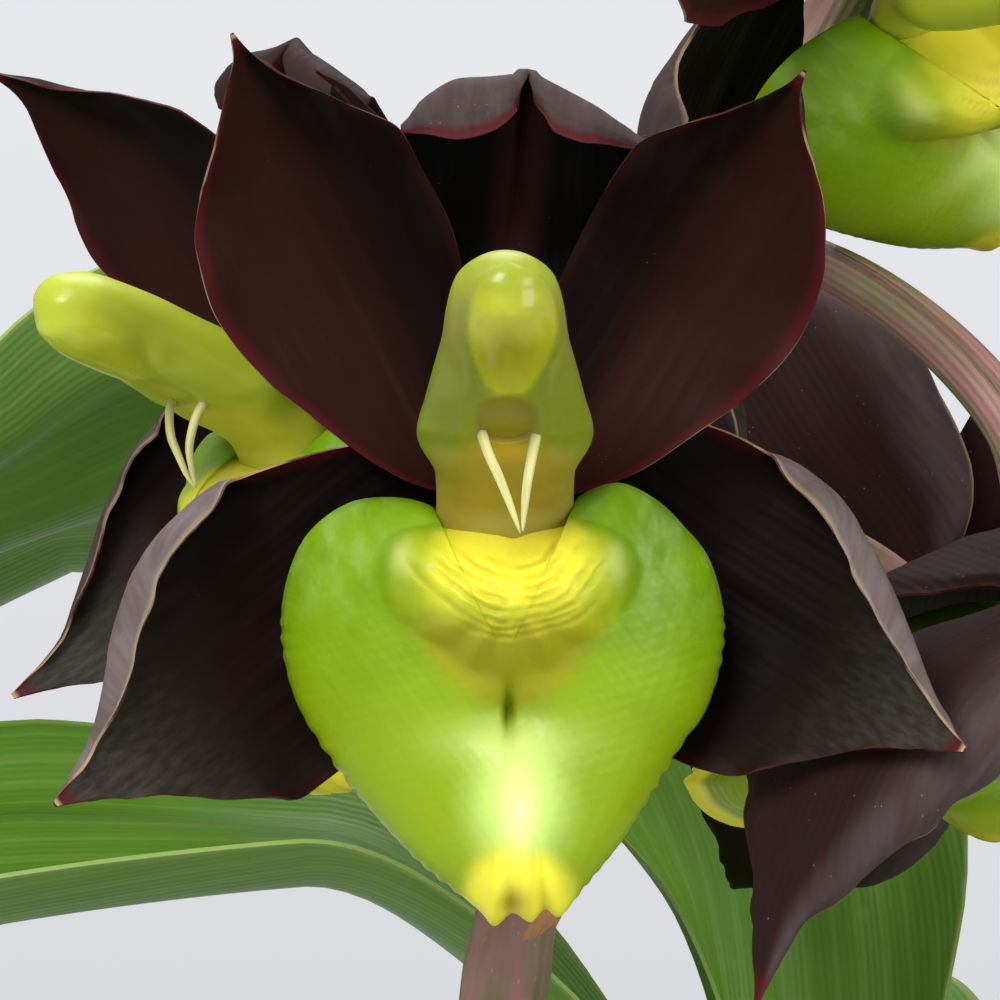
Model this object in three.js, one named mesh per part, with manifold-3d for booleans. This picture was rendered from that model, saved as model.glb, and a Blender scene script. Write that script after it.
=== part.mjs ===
// A Catasetum tenebrosum orchid in a clay pot: sphagnum moss, four pseudobulbs, seven pleated
// leaves and an arching spray of dark flowers, each with a green lip and a yellow-green column.
// Millimetres, +Z up. The origin is the middle of the pot's flat underside, and the first flower,
// the one turned to a viewer in front, faces -Y.

import * as THREE from 'three';
import { LoftGeometry } from 'three/addons/geometries/LoftGeometry.js';
import { mergeVertices } from 'three/addons/utils/BufferGeometryUtils.js';
import Module from 'manifold-3d';

const wasm = await Module();
wasm.setup();

const point = ( x, y, z ) => new THREE.Vector3( x, y, z );
const UP = point( 0, 0, 1 );

// Driving dimensions

const GAP = 0.3;

const POT = {
	height: 100, baseRadius: 41, neckRadius: 53, rimRadius: 61, rimHeight: 20,
	wall: 5, floor: 7, sides: 28, holes: 5, holeRadius: 5, holeCircle: 22, holeSides: 10,
};

const MOSS = { top: 90, drop: 4, tuft: 1.5, rings: 5, sides: 20 };

const TEPAL_THICKNESS = 0.7;
const LEAF_THICKNESS = 1;

// The flower's hub, where its tepals, lip and column meet.
const HUB = { y: 4.6, z: 0.3, radius: 3.2 };

// The first flower's middle, which the rest of the spray is placed from.
const HERO = point( - 12, - 62, 262 );

// Colours

const COLOUR = {
	clay: '#b5714f', moss: '#8d8f52', bulb: '#6f8448', leaf: '#5a8a35', stem: '#8a655c',
	tepal: '#2f1613', lip: '#9cc21c', column: '#c3cc4c', bud: '#4a3a2a',
};

// A smooth curve through the rows [x, value, ...] of a table, read at x in one column. It never
// swings past the rows' own values.
function smooth( table, x, column = 1 ) {

	const last = table.length - 1;
	if ( x <= table[ 0 ][ 0 ] ) return table[ 0 ][ column ];
	if ( x >= table[ last ][ 0 ] ) return table[ last ][ column ];
	let i = 0;
	while ( x > table[ i + 1 ][ 0 ] ) i += 1;
	const rise = ( k ) => ( table[ k + 1 ][ column ] - table[ k ][ column ] )
		/ ( table[ k + 1 ][ 0 ] - table[ k ][ 0 ] );
	const slope = ( k ) => {

		if ( k === 0 ) return rise( 0 );
		if ( k === last ) return rise( last - 1 );
		const before = rise( k - 1 );
		const after = rise( k );
		return before * after <= 0 ? 0 : 2 * before * after / ( before + after );

	};
	const span = table[ i + 1 ][ 0 ] - table[ i ][ 0 ];
	const t = ( x - table[ i ][ 0 ] ) / span;
	const low = table[ i ][ column ];
	const high = table[ i + 1 ][ column ];
	return low + ( high - low ) * t * t * ( 3 - 2 * t )
		+ span * t * ( 1 - t ) * ( slope( i ) * ( 1 - t ) - slope( i + 1 ) * t );

}

// A path through points, read by its share s of the length from 0 to 1.
function path( points ) {

	const reach = [ 0 ];
	for ( let i = 1; i < points.length; i ++ ) {

		reach.push( reach[ i - 1 ] + points[ i ].distanceTo( points[ i - 1 ] ) );

	}
	const total = reach[ reach.length - 1 ];
	const table = points.map( ( p, i ) => [ reach[ i ] / total, p.x, p.y, p.z ] );
	return ( s ) => point( smooth( table, s, 1 ), smooth( table, s, 2 ), smooth( table, s, 3 ) );

}

function tangent( curve, s ) {

	const step = 1e-3;
	return curve( Math.min( s + step, 1 ) ).sub( curve( Math.max( s - step, 0 ) ) ).normalize();

}

const evenly = ( count ) => Array.from( { length: count + 1 }, ( _, i ) => i / count );

// Solids

function toSolid( geometry ) {

	const bare = new THREE.BufferGeometry();
	bare.setAttribute( 'position', geometry.attributes.position );
	bare.setIndex( geometry.index );
	const merged = mergeVertices( bare, 1e-4 );
	return new wasm.Manifold( new wasm.Mesh( {
		numProp: 3,
		vertProperties: new Float32Array( merged.attributes.position.array ),
		triVerts: new Uint32Array( merged.index.array ),
	} ) );

}

function toGeometry( solid ) {

	const mesh = solid.getMesh();
	const geometry = new THREE.BufferGeometry();
	geometry.setAttribute( 'position', new THREE.Float32BufferAttribute( mesh.vertProperties, 3 ) );
	geometry.setIndex( Array.from( mesh.triVerts ) );
	geometry.computeVertexNormals();
	return geometry;

}

const join = ( geometries ) => toGeometry( geometries.map( toSolid ).reduce( ( a, b ) => a.add( b ) ) );

const cut = ( geometry, holes ) => toGeometry( holes.map( toSolid )
	.reduce( ( a, b ) => a.subtract( b ), toSolid( geometry ) ) );

// A closed sheet over surface(s, u), with s in sValues from base to tip and u in uValues from -1
// on the left to 1 on the right. Its back face is the front one, set back along the normals, and
// both are split into triangles alike.
function sheet( surface, sValues, uValues, thickness ) {

	const step = 1e-3;
	const front = [];
	const back = [];
	for ( const s of sValues ) {

		for ( const u of uValues ) {

			const along = surface( Math.min( s + step, 1 ), u ).sub( surface( Math.max( s - step, 0 ), u ) );
			const over = surface( s, Math.min( u + step, 1 ) ).sub( surface( s, Math.max( u - step, - 1 ) ) );
			const normal = over.cross( along ).normalize();
			const place = surface( s, u );
			front.push( place );
			back.push( place.clone().addScaledVector( normal, - thickness ) );

		}

	}
	const vertices = [ ...front, ...back ].flatMap( ( p ) => [ p.x, p.y, p.z ] );
	const rows = sValues.length;
	const columns = uValues.length;
	const at = ( i, j ) => i * columns + j;
	const under = front.length;
	const faces = [];
	for ( let i = 0; i < rows - 1; i ++ ) {

		for ( let j = 0; j < columns - 1; j ++ ) {

			const a = at( i, j );
			const b = at( i, j + 1 );
			const c = at( i + 1, j + 1 );
			const d = at( i + 1, j );
			faces.push( a, b, c, a, c, d );
			faces.push( a + under, c + under, b + under, a + under, d + under, c + under );

		}

	}
	const border = [];
	for ( let j = 0; j < columns - 1; j ++ ) border.push( at( 0, j ) );
	for ( let i = 0; i < rows - 1; i ++ ) border.push( at( i, columns - 1 ) );
	for ( let j = columns - 1; j > 0; j -- ) border.push( at( rows - 1, j ) );
	for ( let i = rows - 1; i > 0; i -- ) border.push( at( i, 0 ) );
	border.forEach( ( p, k ) => {

		const q = border[ ( k + 1 ) % border.length ];
		faces.push( q, p, p + under, q, p + under, q + under );

	} );
	const geometry = new THREE.BufferGeometry();
	geometry.setAttribute( 'position', new THREE.Float32BufferAttribute( vertices, 3 ) );
	geometry.setIndex( faces );
	return geometry;

}

// A closed body through rings of points, pointed at both ends. The rings run counterclockwise as
// seen from the last point.
function closeRings( first, rings, last ) {

	const count = rings[ 0 ].length;
	const vertices = [ first, ...rings.flat(), last ].flatMap( ( p ) => [ p.x, p.y, p.z ] );
	const at = ( ring, k ) => 1 + ring * count + k % count;
	const top = rings.length - 1;
	const end = 1 + rings.length * count;
	const faces = [];
	for ( let k = 0; k < count; k ++ ) {

		faces.push( 0, at( 0, k + 1 ), at( 0, k ) );
		faces.push( end, at( top, k ), at( top, k + 1 ) );
		for ( let ring = 0; ring < top; ring ++ ) {

			faces.push( at( ring, k ), at( ring, k + 1 ), at( ring + 1, k ) );
			faces.push( at( ring, k + 1 ), at( ring + 1, k + 1 ), at( ring + 1, k ) );

		}

	}
	const geometry = new THREE.BufferGeometry();
	geometry.setAttribute( 'position', new THREE.Float32BufferAttribute( vertices, 3 ) );
	geometry.setIndex( faces );
	return geometry;

}

// The surface of a blade along a spine. across is the way to the right edge, and widths has rows
// of [s, left, right], both as seen from in front. arch is the curvature across it, towards the
// front. A margin given by curl has rows [s, strip width, angle], is bent to the front, and keeps
// the blade's seen width. turn has rows [s, angle] that lift the right edge.
function blade( { spine, across, widths, arch, curlLeft, curlRight, turn, pleat } ) {

	const curve = path( spine );
	return ( s, u ) => {

		const way = tangent( curve, s );
		const side = across.clone().addScaledVector( way, - across.dot( way ) ).normalize();
		const face = side.clone().cross( way );
		const lift = turn ? smooth( turn, s ) : 0;
		const right = side.clone().multiplyScalar( Math.cos( lift ) ).addScaledVector( face, Math.sin( lift ) );
		const front = right.clone().cross( way );
		const width = smooth( widths, s, u < 0 ? 1 : 2 );
		const curl = u < 0 ? curlLeft : curlRight;
		const strip = curl ? smooth( curl, s, 1 ) : 0;
		const bend = curl ? Math.max( smooth( curl, s, 2 ), 0.01 ) : 0.01;
		const kept = Math.max( width - strip / bend * Math.sin( Math.min( bend, Math.PI / 2 ) ), 0 );
		const distance = Math.abs( u ) * ( kept + strip );
		const flat = Math.min( distance, kept );
		const curvature = Math.max( smooth( arch, s ), 1e-4 );
		const angle = curvature * flat;
		let sideways = Math.sin( angle ) / curvature;
		let forward = ( 1 - Math.cos( angle ) ) / curvature;
		if ( distance > flat ) {

			const swing = angle + bend * ( distance - flat ) / strip;
			sideways += strip / bend * ( Math.sin( swing ) - Math.sin( angle ) );
			forward += strip / bend * ( Math.cos( angle ) - Math.cos( swing ) );

		}
		if ( pleat ) forward -= smooth( pleat, s ) * Math.cos( 3 * Math.PI * u );
		return curve( s ).addScaledVector( right, Math.sign( u ) * sideways ).addScaledVector( front, forward );

	};

}

// A round tube along a path, with its radius read at s, closed at both ends.
function tube( points, radiusAt, steps, sides ) {

	const curve = path( points );
	let normal = null;
	const sections = evenly( steps ).map( ( s ) => {

		const way = tangent( curve, s );
		const aside = normal ?? ( Math.abs( way.x ) < 0.9 ? point( 1, 0, 0 ) : point( 0, 1, 0 ) );
		normal = aside.clone().addScaledVector( way, - aside.dot( way ) ).normalize();
		const binormal = way.clone().cross( normal );
		return evenly( sides ).slice( 0, sides ).map( ( t ) => curve( s )
			.addScaledVector( normal, radiusAt( s ) * Math.cos( 2 * Math.PI * t ) )
			.addScaledVector( binormal, radiusAt( s ) * Math.sin( 2 * Math.PI * t ) ) );

	} );
	return new LoftGeometry( sections, { capStart: true, capEnd: true } );

}

// The flower's own frame has +Z up, +X to the right and -Y towards the viewer it faces.

const PETAL_LEFT = {
	spine: [ point( - 1, 4.4, 0.5 ), point( - 3.4, 3.4, 3 ), point( - 7.5, 2.4, 10.5 ),
		point( - 11, - 0.5, 17.3 ), point( - 13.3, - 4.8, 21.6 ), point( - 14.5, - 8.5, 24.2 ) ],
	across: point( 1, 0.12, 0.53 ),
	widths: [ [ 0, 1.2, 1.2 ], [ 0.15, 4.2, 3.4 ], [ 0.25, 5.8, 4.8 ], [ 0.35, 7.3, 5.4 ], [ 0.5, 8.1, 6 ],
		[ 0.63, 7.3, 5.8 ], [ 0.73, 5.4, 3.8 ], [ 0.81, 3.3, 2.3 ], [ 0.91, 1.3, 1 ], [ 1, 0.3, 0.3 ] ],
	arch: [ [ 0, 0.05 ], [ 0.5, 0.03 ], [ 1, 0.01 ] ],
};

const PETAL_RIGHT = {
	spine: [ point( 1, 4.4, 0.5 ), point( 3.6, 3.4, 2.9 ), point( 8.4, 2.4, 10.3 ),
		point( 12.1, - 0.5, 16.1 ), point( 14.4, - 4.8, 19.9 ), point( 15.9, - 8.5, 22.2 ) ],
	across: point( 1, - 0.12, - 0.63 ),
	widths: [ [ 0, 1.2, 1.2 ], [ 0.15, 3.3, 4.2 ], [ 0.25, 4.6, 5.7 ], [ 0.35, 5.2, 7.1 ], [ 0.5, 5.8, 7.8 ],
		[ 0.63, 5.7, 7 ], [ 0.73, 4, 5.4 ], [ 0.81, 2.4, 3.4 ], [ 0.91, 1, 1.4 ], [ 1, 0.3, 0.3 ] ],
	arch: [ [ 0, 0.05 ], [ 0.5, 0.03 ], [ 1, 0.01 ] ],
};

const SEPAL_CURL = [ [ 0, 0.3, 0.1 ], [ 0.25, 1.5, 0.8 ], [ 0.42, 4, 2.4 ], [ 0.72, 3.2, 2.5 ],
	[ 0.86, 1.2, 1.6 ], [ 1, 0.2, 0.3 ] ];

const SEPAL_LEFT = {
	spine: [ point( - 1, 4.9, - 0.3 ), point( - 4.5, 5.4, - 1.6 ), point( - 10, 5.6, - 5.9 ),
		point( - 15.3, 3.4, - 10.1 ), point( - 20, - 1.5, - 13.8 ), point( - 24, - 7.5, - 16.8 ) ],
	across: point( - 0.61, 0, 0.79 ),
	widths: [ [ 0, 1.3, 1.3 ], [ 0.1, 2.6, 4.5 ], [ 0.19, 4.6, 6.5 ], [ 0.29, 6.1, 8.1 ], [ 0.36, 7.1, 8.7 ],
		[ 0.48, 8.1, 8.4 ], [ 0.57, 8.1, 7.6 ], [ 0.67, 6.1, 5.7 ], [ 0.76, 3.8, 3.3 ], [ 0.85, 2.2, 1.4 ],
		[ 0.93, 1.1, 0.6 ], [ 1, 0.3, 0.3 ] ],
	arch: [ [ 0, 0.02 ], [ 0.5, 0.025 ], [ 1, 0.01 ] ],
	curlRight: SEPAL_CURL,
};

const SEPAL_RIGHT = {
	spine: [ point( 1, 4.9, - 0.3 ), point( 4.8, 5.4, - 1.3 ), point( 10.5, 5.6, - 4.9 ),
		point( 15.8, 3.4, - 8.3 ), point( 20.5, - 1.5, - 11.3 ), point( 24.5, - 7.5, - 13.9 ) ],
	across: point( - 0.53, 0, - 0.85 ),
	widths: [ [ 0, 1.3, 1.3 ], [ 0.1, 5, 2.8 ], [ 0.17, 7, 4.6 ], [ 0.27, 8.1, 6.6 ], [ 0.37, 8.4, 8.1 ],
		[ 0.48, 8.1, 9.1 ], [ 0.57, 6.9, 8.5 ], [ 0.65, 5.6, 6.8 ], [ 0.71, 4.4, 4.9 ], [ 0.78, 3, 3.2 ],
		[ 0.88, 1.2, 1.8 ], [ 1, 0.3, 0.3 ] ],
	arch: [ [ 0, 0.02 ], [ 0.5, 0.025 ], [ 1, 0.01 ] ],
	curlLeft: SEPAL_CURL,
};

// The sepal behind the petals is a hood. Its top edge is rolled forward and hangs as a flap on
// both sides of a small upright tip.
const HOOD = {
	widths: [ [ 0, 1.4 ], [ 0.3, 4.8 ], [ 0.55, 6.4 ], [ 0.8, 7 ], [ 1, 6.9 ] ],
	depth: [ [ 0, 5 ], [ 0.3, 7 ], [ 0.6, 7 ], [ 0.85, 5.2 ], [ 1, 3.6 ] ],
	top: [ [ 0, 22.7 ], [ 0.12, 22.3 ], [ 0.4, 22 ], [ 0.65, 21.5 ], [ 0.85, 20.6 ], [ 1, 19.4 ] ],
	base: 0.3, tipShift: 1.2, rollRadius: 0.85, rollAngle: 2.9, flap: 1.9, rollFrom: 0.72, cup: 0.6,
};

function hood( s, u ) {

	const side = Math.abs( u );
	const folded = Math.min( side / 0.2, 1 );
	const bend = Math.max( HOOD.rollAngle * folded, 0.05 );
	const fold = smooth( HOOD.top, side ) - HOOD.rollRadius * folded;
	const climb = Math.min( s / HOOD.rollFrom, 1 );
	const x = HOOD.tipShift * climb * climb + u * smooth( HOOD.widths, climb );
	const depth = smooth( HOOD.depth, climb ) - HOOD.cup * u * u * climb;
	const place = point( x, depth, HOOD.base + ( fold - HOOD.base ) * climb );
	if ( s <= HOOD.rollFrom ) return place;
	const arc = HOOD.rollRadius * bend;
	const walked = ( s - HOOD.rollFrom ) / ( 1 - HOOD.rollFrom ) * ( arc + HOOD.flap * folded );
	const angle = Math.min( walked / HOOD.rollRadius, bend );
	const rest = Math.max( walked - arc, 0 );
	place.y -= HOOD.rollRadius * ( 1 - Math.cos( angle ) ) + rest * Math.sin( bend );
	place.z += HOOD.rollRadius * Math.sin( angle ) + rest * Math.cos( bend );
	return place;

}

function tepals( detail ) {

	const core = new THREE.SphereGeometry( HUB.radius, detail.hubSides, detail.hubSides / 2 );
	core.rotateX( Math.PI / 2 );
	core.translate( 0, HUB.y, HUB.z );
	const flat = evenly( detail.columns ).map( ( t ) => 2 * t - 1 );
	const rows = evenly( detail.rows );
	const rolled = detail.rolled;
	const mirrored = rolled.map( ( u ) => - u ).reverse();
	return join( [
		core,
		sheet( blade( PETAL_LEFT ), rows, flat, TEPAL_THICKNESS ),
		sheet( blade( PETAL_RIGHT ), rows, flat, TEPAL_THICKNESS ),
		sheet( blade( SEPAL_LEFT ), rows, rolled, TEPAL_THICKNESS ),
		sheet( blade( SEPAL_RIGHT ), rows, mirrored, TEPAL_THICKNESS ),
		sheet( hood, detail.hoodRows, detail.hoodColumns, TEPAL_THICKNESS ),
	] );

}

// The lip is a heart-shaped cushion, with a notch at the top for the column's foot and three
// small teeth at its lower end. The outline goes round from the notch, down the right side.
const LIP_OUTLINE = [
	[ 0, - 2 ], [ 4.3, - 1.8 ], [ 4.8, - 0.2 ], [ 6.4, 0.4 ], [ 8.3, - 0.5 ], [ 9.9, - 2 ], [ 11.3, - 3.8 ],
	[ 12.1, - 6.6 ], [ 12, - 9.4 ], [ 11.1, - 12.2 ], [ 9.8, - 14 ], [ 7.9, - 17 ], [ 6.4, - 19.3 ],
	[ 4.3, - 21.8 ], [ 3, - 23.3 ], [ 2.2, - 22.9 ], [ 1.4, - 23.6 ], [ 0.4, - 23.1 ], [ - 0.6, - 23.8 ],
	[ - 1.6, - 22.8 ], [ - 4.7, - 20.4 ], [ - 7.4, - 17.6 ], [ - 9.8, - 14.6 ], [ - 11.6, - 11.6 ],
	[ - 12.4, - 8.1 ], [ - 12.1, - 5 ], [ - 10.9, - 2.4 ], [ - 8.6, - 0.7 ], [ - 6, - 0.4 ],
	[ - 4.8, - 0.8 ], [ - 4.3, - 1.9 ],
];
const LIP_MIDDLE = [ 0, - 9 ];

const hill = ( x, z, cx, cz, rx, rz, power = 2 ) => Math.exp(
	- ( Math.abs( ( x - cx ) / rx ) ** power ) - ( Math.abs( ( z - cz ) / rz ) ** power ) );

// How far the lip's front stands out over its cushion: the wrinkled crest below the column, its
// two shoulders, the hollow under it and the keel that runs to the lower end.
function lipRelief( x, z ) {

	const crest = 3.2 * hill( x, z, 0.1, - 4.6, 6, 3, 2.6 );
	const shoulders = 0.7 * ( hill( x, z, - 5.9, - 4, 1.6, 1.4 ) + hill( x, z, 6, - 3.8, 1.6, 1.4 ) );
	const hollow = 2 * hill( x, z, 0.2, - 11.2, 1.8, 1.7 );
	const keel = 1.5 * hill( x, z, 0.7, - 17.8, 1.7, 4.2, 2.4 );
	const lowerEnd = 1 * hill( x, z, 1, - 22, 3, 2 );
	return crest + shoulders - hollow + keel + lowerEnd;

}

function lipMargin( x, z ) {

	const belly = Math.min( Math.max( ( - 13 - z ) / 10, 0 ), 1 );
	return - 0.6 + 2.4 * ( x / 12 ) ** 2 - 1.4 * belly * belly;

}

function lipFront( x, z, share ) {

	return lipMargin( x, z ) - 4.8 * Math.sqrt( 1 - share ** 3 ) - lipRelief( x, z ) * ( 1 - share ** 6 );

}

function lipBack( x, z, share ) {

	return lipMargin( x, z ) + 1.2 * Math.sqrt( 1 - share * share );

}

function lip( detail ) {

	const outline = LIP_OUTLINE.filter( ( _, i ) => detail.lipKeeps( i ) );
	const place = ( share, [ edgeX, edgeZ ], depth ) => {

		const x = LIP_MIDDLE[ 0 ] + share * ( edgeX - LIP_MIDDLE[ 0 ] );
		const z = LIP_MIDDLE[ 1 ] + share * ( edgeZ - LIP_MIDDLE[ 1 ] );
		return point( x, depth( x, z, share ), z );

	};
	const ring = ( share, depth ) => outline.map( ( edge ) => place( share, edge, depth ) );
	return closeRings( place( 0, LIP_MIDDLE, lipFront ), [
		...detail.lipFront.map( ( share ) => ring( share, lipFront ) ),
		ring( 1, lipMargin ),
		...detail.lipBack.map( ( share ) => ring( share, lipBack ) ),
	], place( 0, LIP_MIDDLE, lipBack ) );

}

// The column leans forward over the lip. Rows: share of its length, y and z of its middle, lean,
// half width, depth in front, depth behind, and depth of the hollow in front.
const COLUMN = [
	[ 0, - 1.6, - 1.3, 0.35, 3.85, 2.3, 2, 0.2 ],
	[ 0.1, - 2.9, 0.7, 0.6, 3.7, 2.6, 2.4, 0.6 ],
	[ 0.24, - 5.6, 3.1, 0.8, 4.7, 2.7, 2.7, 1.4 ],
	[ 0.35, - 7.7, 4.7, 0.88, 4.3, 2.6, 2.8, 1.6 ],
	[ 0.47, - 9.9, 6.2, 0.9, 3.9, 2.5, 2.7, 0.6 ],
	[ 0.6, - 12.2, 7.8, 0.92, 3.35, 2.6, 2.6, 0 ],
	[ 0.73, - 14.4, 9.2, 0.92, 3.1, 2.6, 2.4, 0 ],
	[ 0.87, - 16.3, 10.5, 0.9, 2.7, 2.2, 2, 0 ],
	[ 0.96, - 17.7, 11.3, 0.9, 1.75, 1.4, 1.3, 0 ],
	[ 1, - 18.3, 11.7, 0.9, 0.65, 0.5, 0.5, 0 ],
];
const ANTHER = { place: [ 0.45, - 15.8, 7.9 ], radii: [ 2.3, 2.8, 3.1 ], lean: 0.7 };
const ANTENNA = { root: 0.48, tip: 0.32, sides: 4 };
const ANTENNAE = [
	[ point( - 1.3, - 7.6, 3.8 ), point( - 0.9, - 9.8, 1.4 ), point( - 0.2, - 10.2, - 0.4 ),
		point( 0.35, - 10.1, - 2.1 ) ],
	[ point( 1.9, - 7.8, 4.1 ), point( 1.9, - 10, 1.8 ), point( 1.5, - 10.3, - 0.2 ),
		point( 0.95, - 10.1, - 2 ) ],
];

function columnRing( s, sides ) {

	const [ y, z, lean, wide, before, behind, hollow ] = [ 1, 2, 3, 4, 5, 6, 7 ]
		.map( ( k ) => smooth( COLUMN, s, k ) );
	return evenly( sides ).slice( 0, sides ).map( ( t ) => {

		const turn = 2 * Math.PI * t;
		const out = Math.cos( turn );
		const forward = out > 0 ? before * out - hollow * out ** 6 : behind * out;
		return point( wide * Math.sin( turn ), y - forward * Math.cos( lean ), z - forward * Math.sin( lean ) );

	} );

}

function column( detail ) {

	const body = new LoftGeometry( detail.columnStations.map( ( s ) => columnRing( s, detail.columnSides ) ),
		{ capStart: true, capEnd: true } );
	const anther = new THREE.SphereGeometry( 1, detail.antherSides, detail.antherSides - 2 );
	anther.scale( ...ANTHER.radii );
	anther.rotateX( - ANTHER.lean );
	anther.translate( ...ANTHER.place );
	const thin = ( s ) => ANTENNA.root + ( ANTENNA.tip - ANTENNA.root ) * s;
	const antennae = ANTENNAE.map( ( points ) => tube( points, thin, detail.antennaSteps, ANTENNA.sides ) );
	return join( [ body, anther, ...antennae ] );

}

const FINE = {
	rows: 10, columns: 4, rolled: [ - 1, - 0.4, 0.2, 0.62, 0.8, 0.9, 1 ],
	hoodRows: [ 0, 0.3, 0.55, 0.72, 0.8, 0.88, 1 ],
	hoodColumns: [ - 1, - 0.6, - 0.2, 0, 0.2, 0.6, 1 ], hubSides: 8,
	lipKeeps: () => true, lipFront: [ 0.2, 0.4, 0.58, 0.74, 0.87, 0.96 ], lipBack: [ 0.93, 0.6 ],
	columnStations: COLUMN.map( ( row ) => row[ 0 ] ), columnSides: 14, antherSides: 9, antennaSteps: 4,
};

const PLAIN = {
	rows: 6, columns: 3, rolled: [ - 1, - 0.3, 0.45, 0.82, 1 ],
	hoodRows: [ 0, 0.45, 0.75, 0.88, 1 ],
	hoodColumns: [ - 1, - 0.3, 0, 0.3, 1 ], hubSides: 6,
	lipKeeps: ( i ) => i % 2 === 1 || i === 0 || i === LIP_OUTLINE.length - 1,
	lipFront: [ 0.35, 0.62, 0.9 ], lipBack: [ 0.85 ],
	columnStations: [ 0, 0.24, 0.47, 0.73, 0.93, 1 ], columnSides: 8, antherSides: 6, antennaSteps: 2,
};

// The flowers, by their middle measured from the first flower's, the way they face, and their
// turn about it. root is the share of the stem's length that each grows from, and bow how far
// its stalk bends aside.
const FLOWERS = [
	{ at: point( 0, 0, 0 ), facing: point( 0, - 1, 0 ), turn: 0,
		root: 0.688, bow: point( 2.36, 0.67, 9.85 ), detail: FINE },
	{ at: point( - 12.85, 36.17, 4.52 ), facing: point( - 0.7, - 0.68, - 0.21 ), turn: 0,
		root: 0.64, bow: point( 0.31, 9.22, 1.98 ) },
	{ at: point( 22.53, 8.84, 30.18 ), facing: point( 0.69, - 0.52, - 0.5 ), turn: - 0.84,
		root: 0.863, bow: point( - 5.55, 5.2, - 0.49 ) },
	{ at: point( 28.61, 59.07, - 6.16 ), facing: point( 0.18, 0.94, 0.28 ), turn: - 1.51,
		root: 0.705, bow: point( 9.38, 10.79, - 5.42 ) },
	{ at: point( 32.75, 14.66, - 10.86 ), facing: point( 0.25, 0.24, - 0.94 ), turn: - 1.01,
		root: 0.733, bow: point( - 5.13, 5.23, 7.98 ) },
	{ at: point( 10.89, 11.67, - 53.91 ), facing: point( 0.3, - 0.93, - 0.22 ), turn: 0.07,
		root: 0.539, bow: point( - 12.32, 4.62, 9.77 ) },
	{ at: point( 47.64, 44.66, 31.55 ), facing: point( 0.87, 0.47, 0.15 ), turn: 0.02,
		root: 0.891, bow: point( - 4.99, 6.18, - 13.23 ) },
];

// The flower stem, from the moss to the last bud.
const STEM = [ point( 8, - 22, 84 ), point( - 3, - 29, 135 ), point( - 12, - 35, 185 ),
	point( - 13.6, - 36.6, 216 ), point( - 11.4, - 37, 235.8 ), point( - 3.5, - 37, 262 ),
	point( 4, - 37, 283 ), point( 15, - 37, 301 ), point( 31, - 37, 313 ), point( 46, - 37, 320 ) ];
const STEM_RADIUS = [ [ 0, 3.2 ], [ 0.5, 2.6 ], [ 0.7, 2.3 ], [ 1, 1.2 ] ];
const STEM_STEPS = 20;
const STEM_SIDES = 7;

// A flower's stalk widens towards the flower, and ends in a straight stretch behind it.
const STALK = { root: 1.25, end: 1.8, straight: 7, steps: 6, sides: 5 };

// A small pointed scale stands below each stalk, and others at bare joints of the stem.
const SCALE = { length: 8, half: 2.4, below: 3, sink: 0.4, thickness: 0.8, lean: [ 2.6, 4.6 ] };
const JOINT_SCALES = [
	{ place: 0.13, side: 1, length: 12, half: 3.4 },
	{ place: 0.27, side: - 1, length: 12, half: 3.4 },
	{ place: 0.4, side: 1, length: 12, half: 3.4 },
	{ place: 0.578, side: 1, length: 7, half: 2.2 },
];

// The buds, by their middle, where they grow from, their length and greatest radius.
const BUDS = [
	{ at: point( 30, - 46, 326 ), root: 0.92, length: 15, radius: 5 },
	{ at: point( 48, - 30, 327 ), root: 0.965, length: 12, radius: 4 },
	{ at: point( 56, - 39, 325 ), root: 1, length: 9, radius: 3 },
];
const BUD = { steps: 6, sides: 7,
	shape: [ [ 0, 0.3 ], [ 0.2, 0.75 ], [ 0.5, 1 ], [ 0.8, 0.7 ], [ 1, 0.15 ] ] };
const BUD_STALK = { radius: 1, sides: 6, sink: 0.004 };

// Where a flower stands: its group's position and rotation.
function flowerGroup( { at, facing, turn } ) {

	const back = facing.clone().negate().normalize();
	const up = UP.clone().addScaledVector( back, - UP.dot( back ) ).normalize().applyAxisAngle( back, turn );
	const right = back.clone().cross( up );
	const group = new THREE.Group();
	group.quaternion.setFromRotationMatrix( new THREE.Matrix4().makeBasis( right, back, up ) );
	group.position.copy( at ).add( HERO );
	group.updateMatrixWorld();
	return group;

}

function piece( name, geometry, colour, roughness ) {

	const mesh = new THREE.Mesh( geometry, new THREE.MeshStandardMaterial( { color: colour, roughness } ) );
	mesh.name = name;
	return mesh;

}

// Pseudobulbs: where each stands, its foot's height, its length, greatest radius and lean.
const BULB_SHAPE = [ [ 0, 0.5 ], [ 0.06, 0.72 ], [ 0.18, 0.93 ], [ 0.34, 1 ], [ 0.52, 0.93 ], [ 0.7, 0.72 ],
	[ 0.85, 0.46 ], [ 0.95, 0.28 ], [ 1, 0.12 ] ];
const BULB_NODES = 7;
const BULB_GROOVE = 0.025;
const BULB_TIP = 0.6;
const BULBS = [
	{ x: 14, y: 4, foot: 78, length: 125, radius: 15, lean: [ 0, 0 ], sides: 10, rows: 14 },
	{ x: - 17, y: 8, foot: 78, length: 108, radius: 13.5, lean: [ - 0.04, - 0.06 ], sides: 9, rows: 10 },
	{ x: 2, y: 34, foot: 78, length: 96, radius: 12, lean: [ - 0.07, 0.01 ], sides: 9, rows: 9 },
	{ x: - 24, y: 32, foot: 79, length: 62, radius: 9, lean: [ - 0.08, - 0.08 ], sides: 8, rows: 7 },
];

const bulbRadius = ( bulb, s ) => bulb.radius
	* ( smooth( BULB_SHAPE, s ) - BULB_GROOVE * Math.cos( 2 * Math.PI * BULB_NODES * s ) ** 8 );

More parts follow.
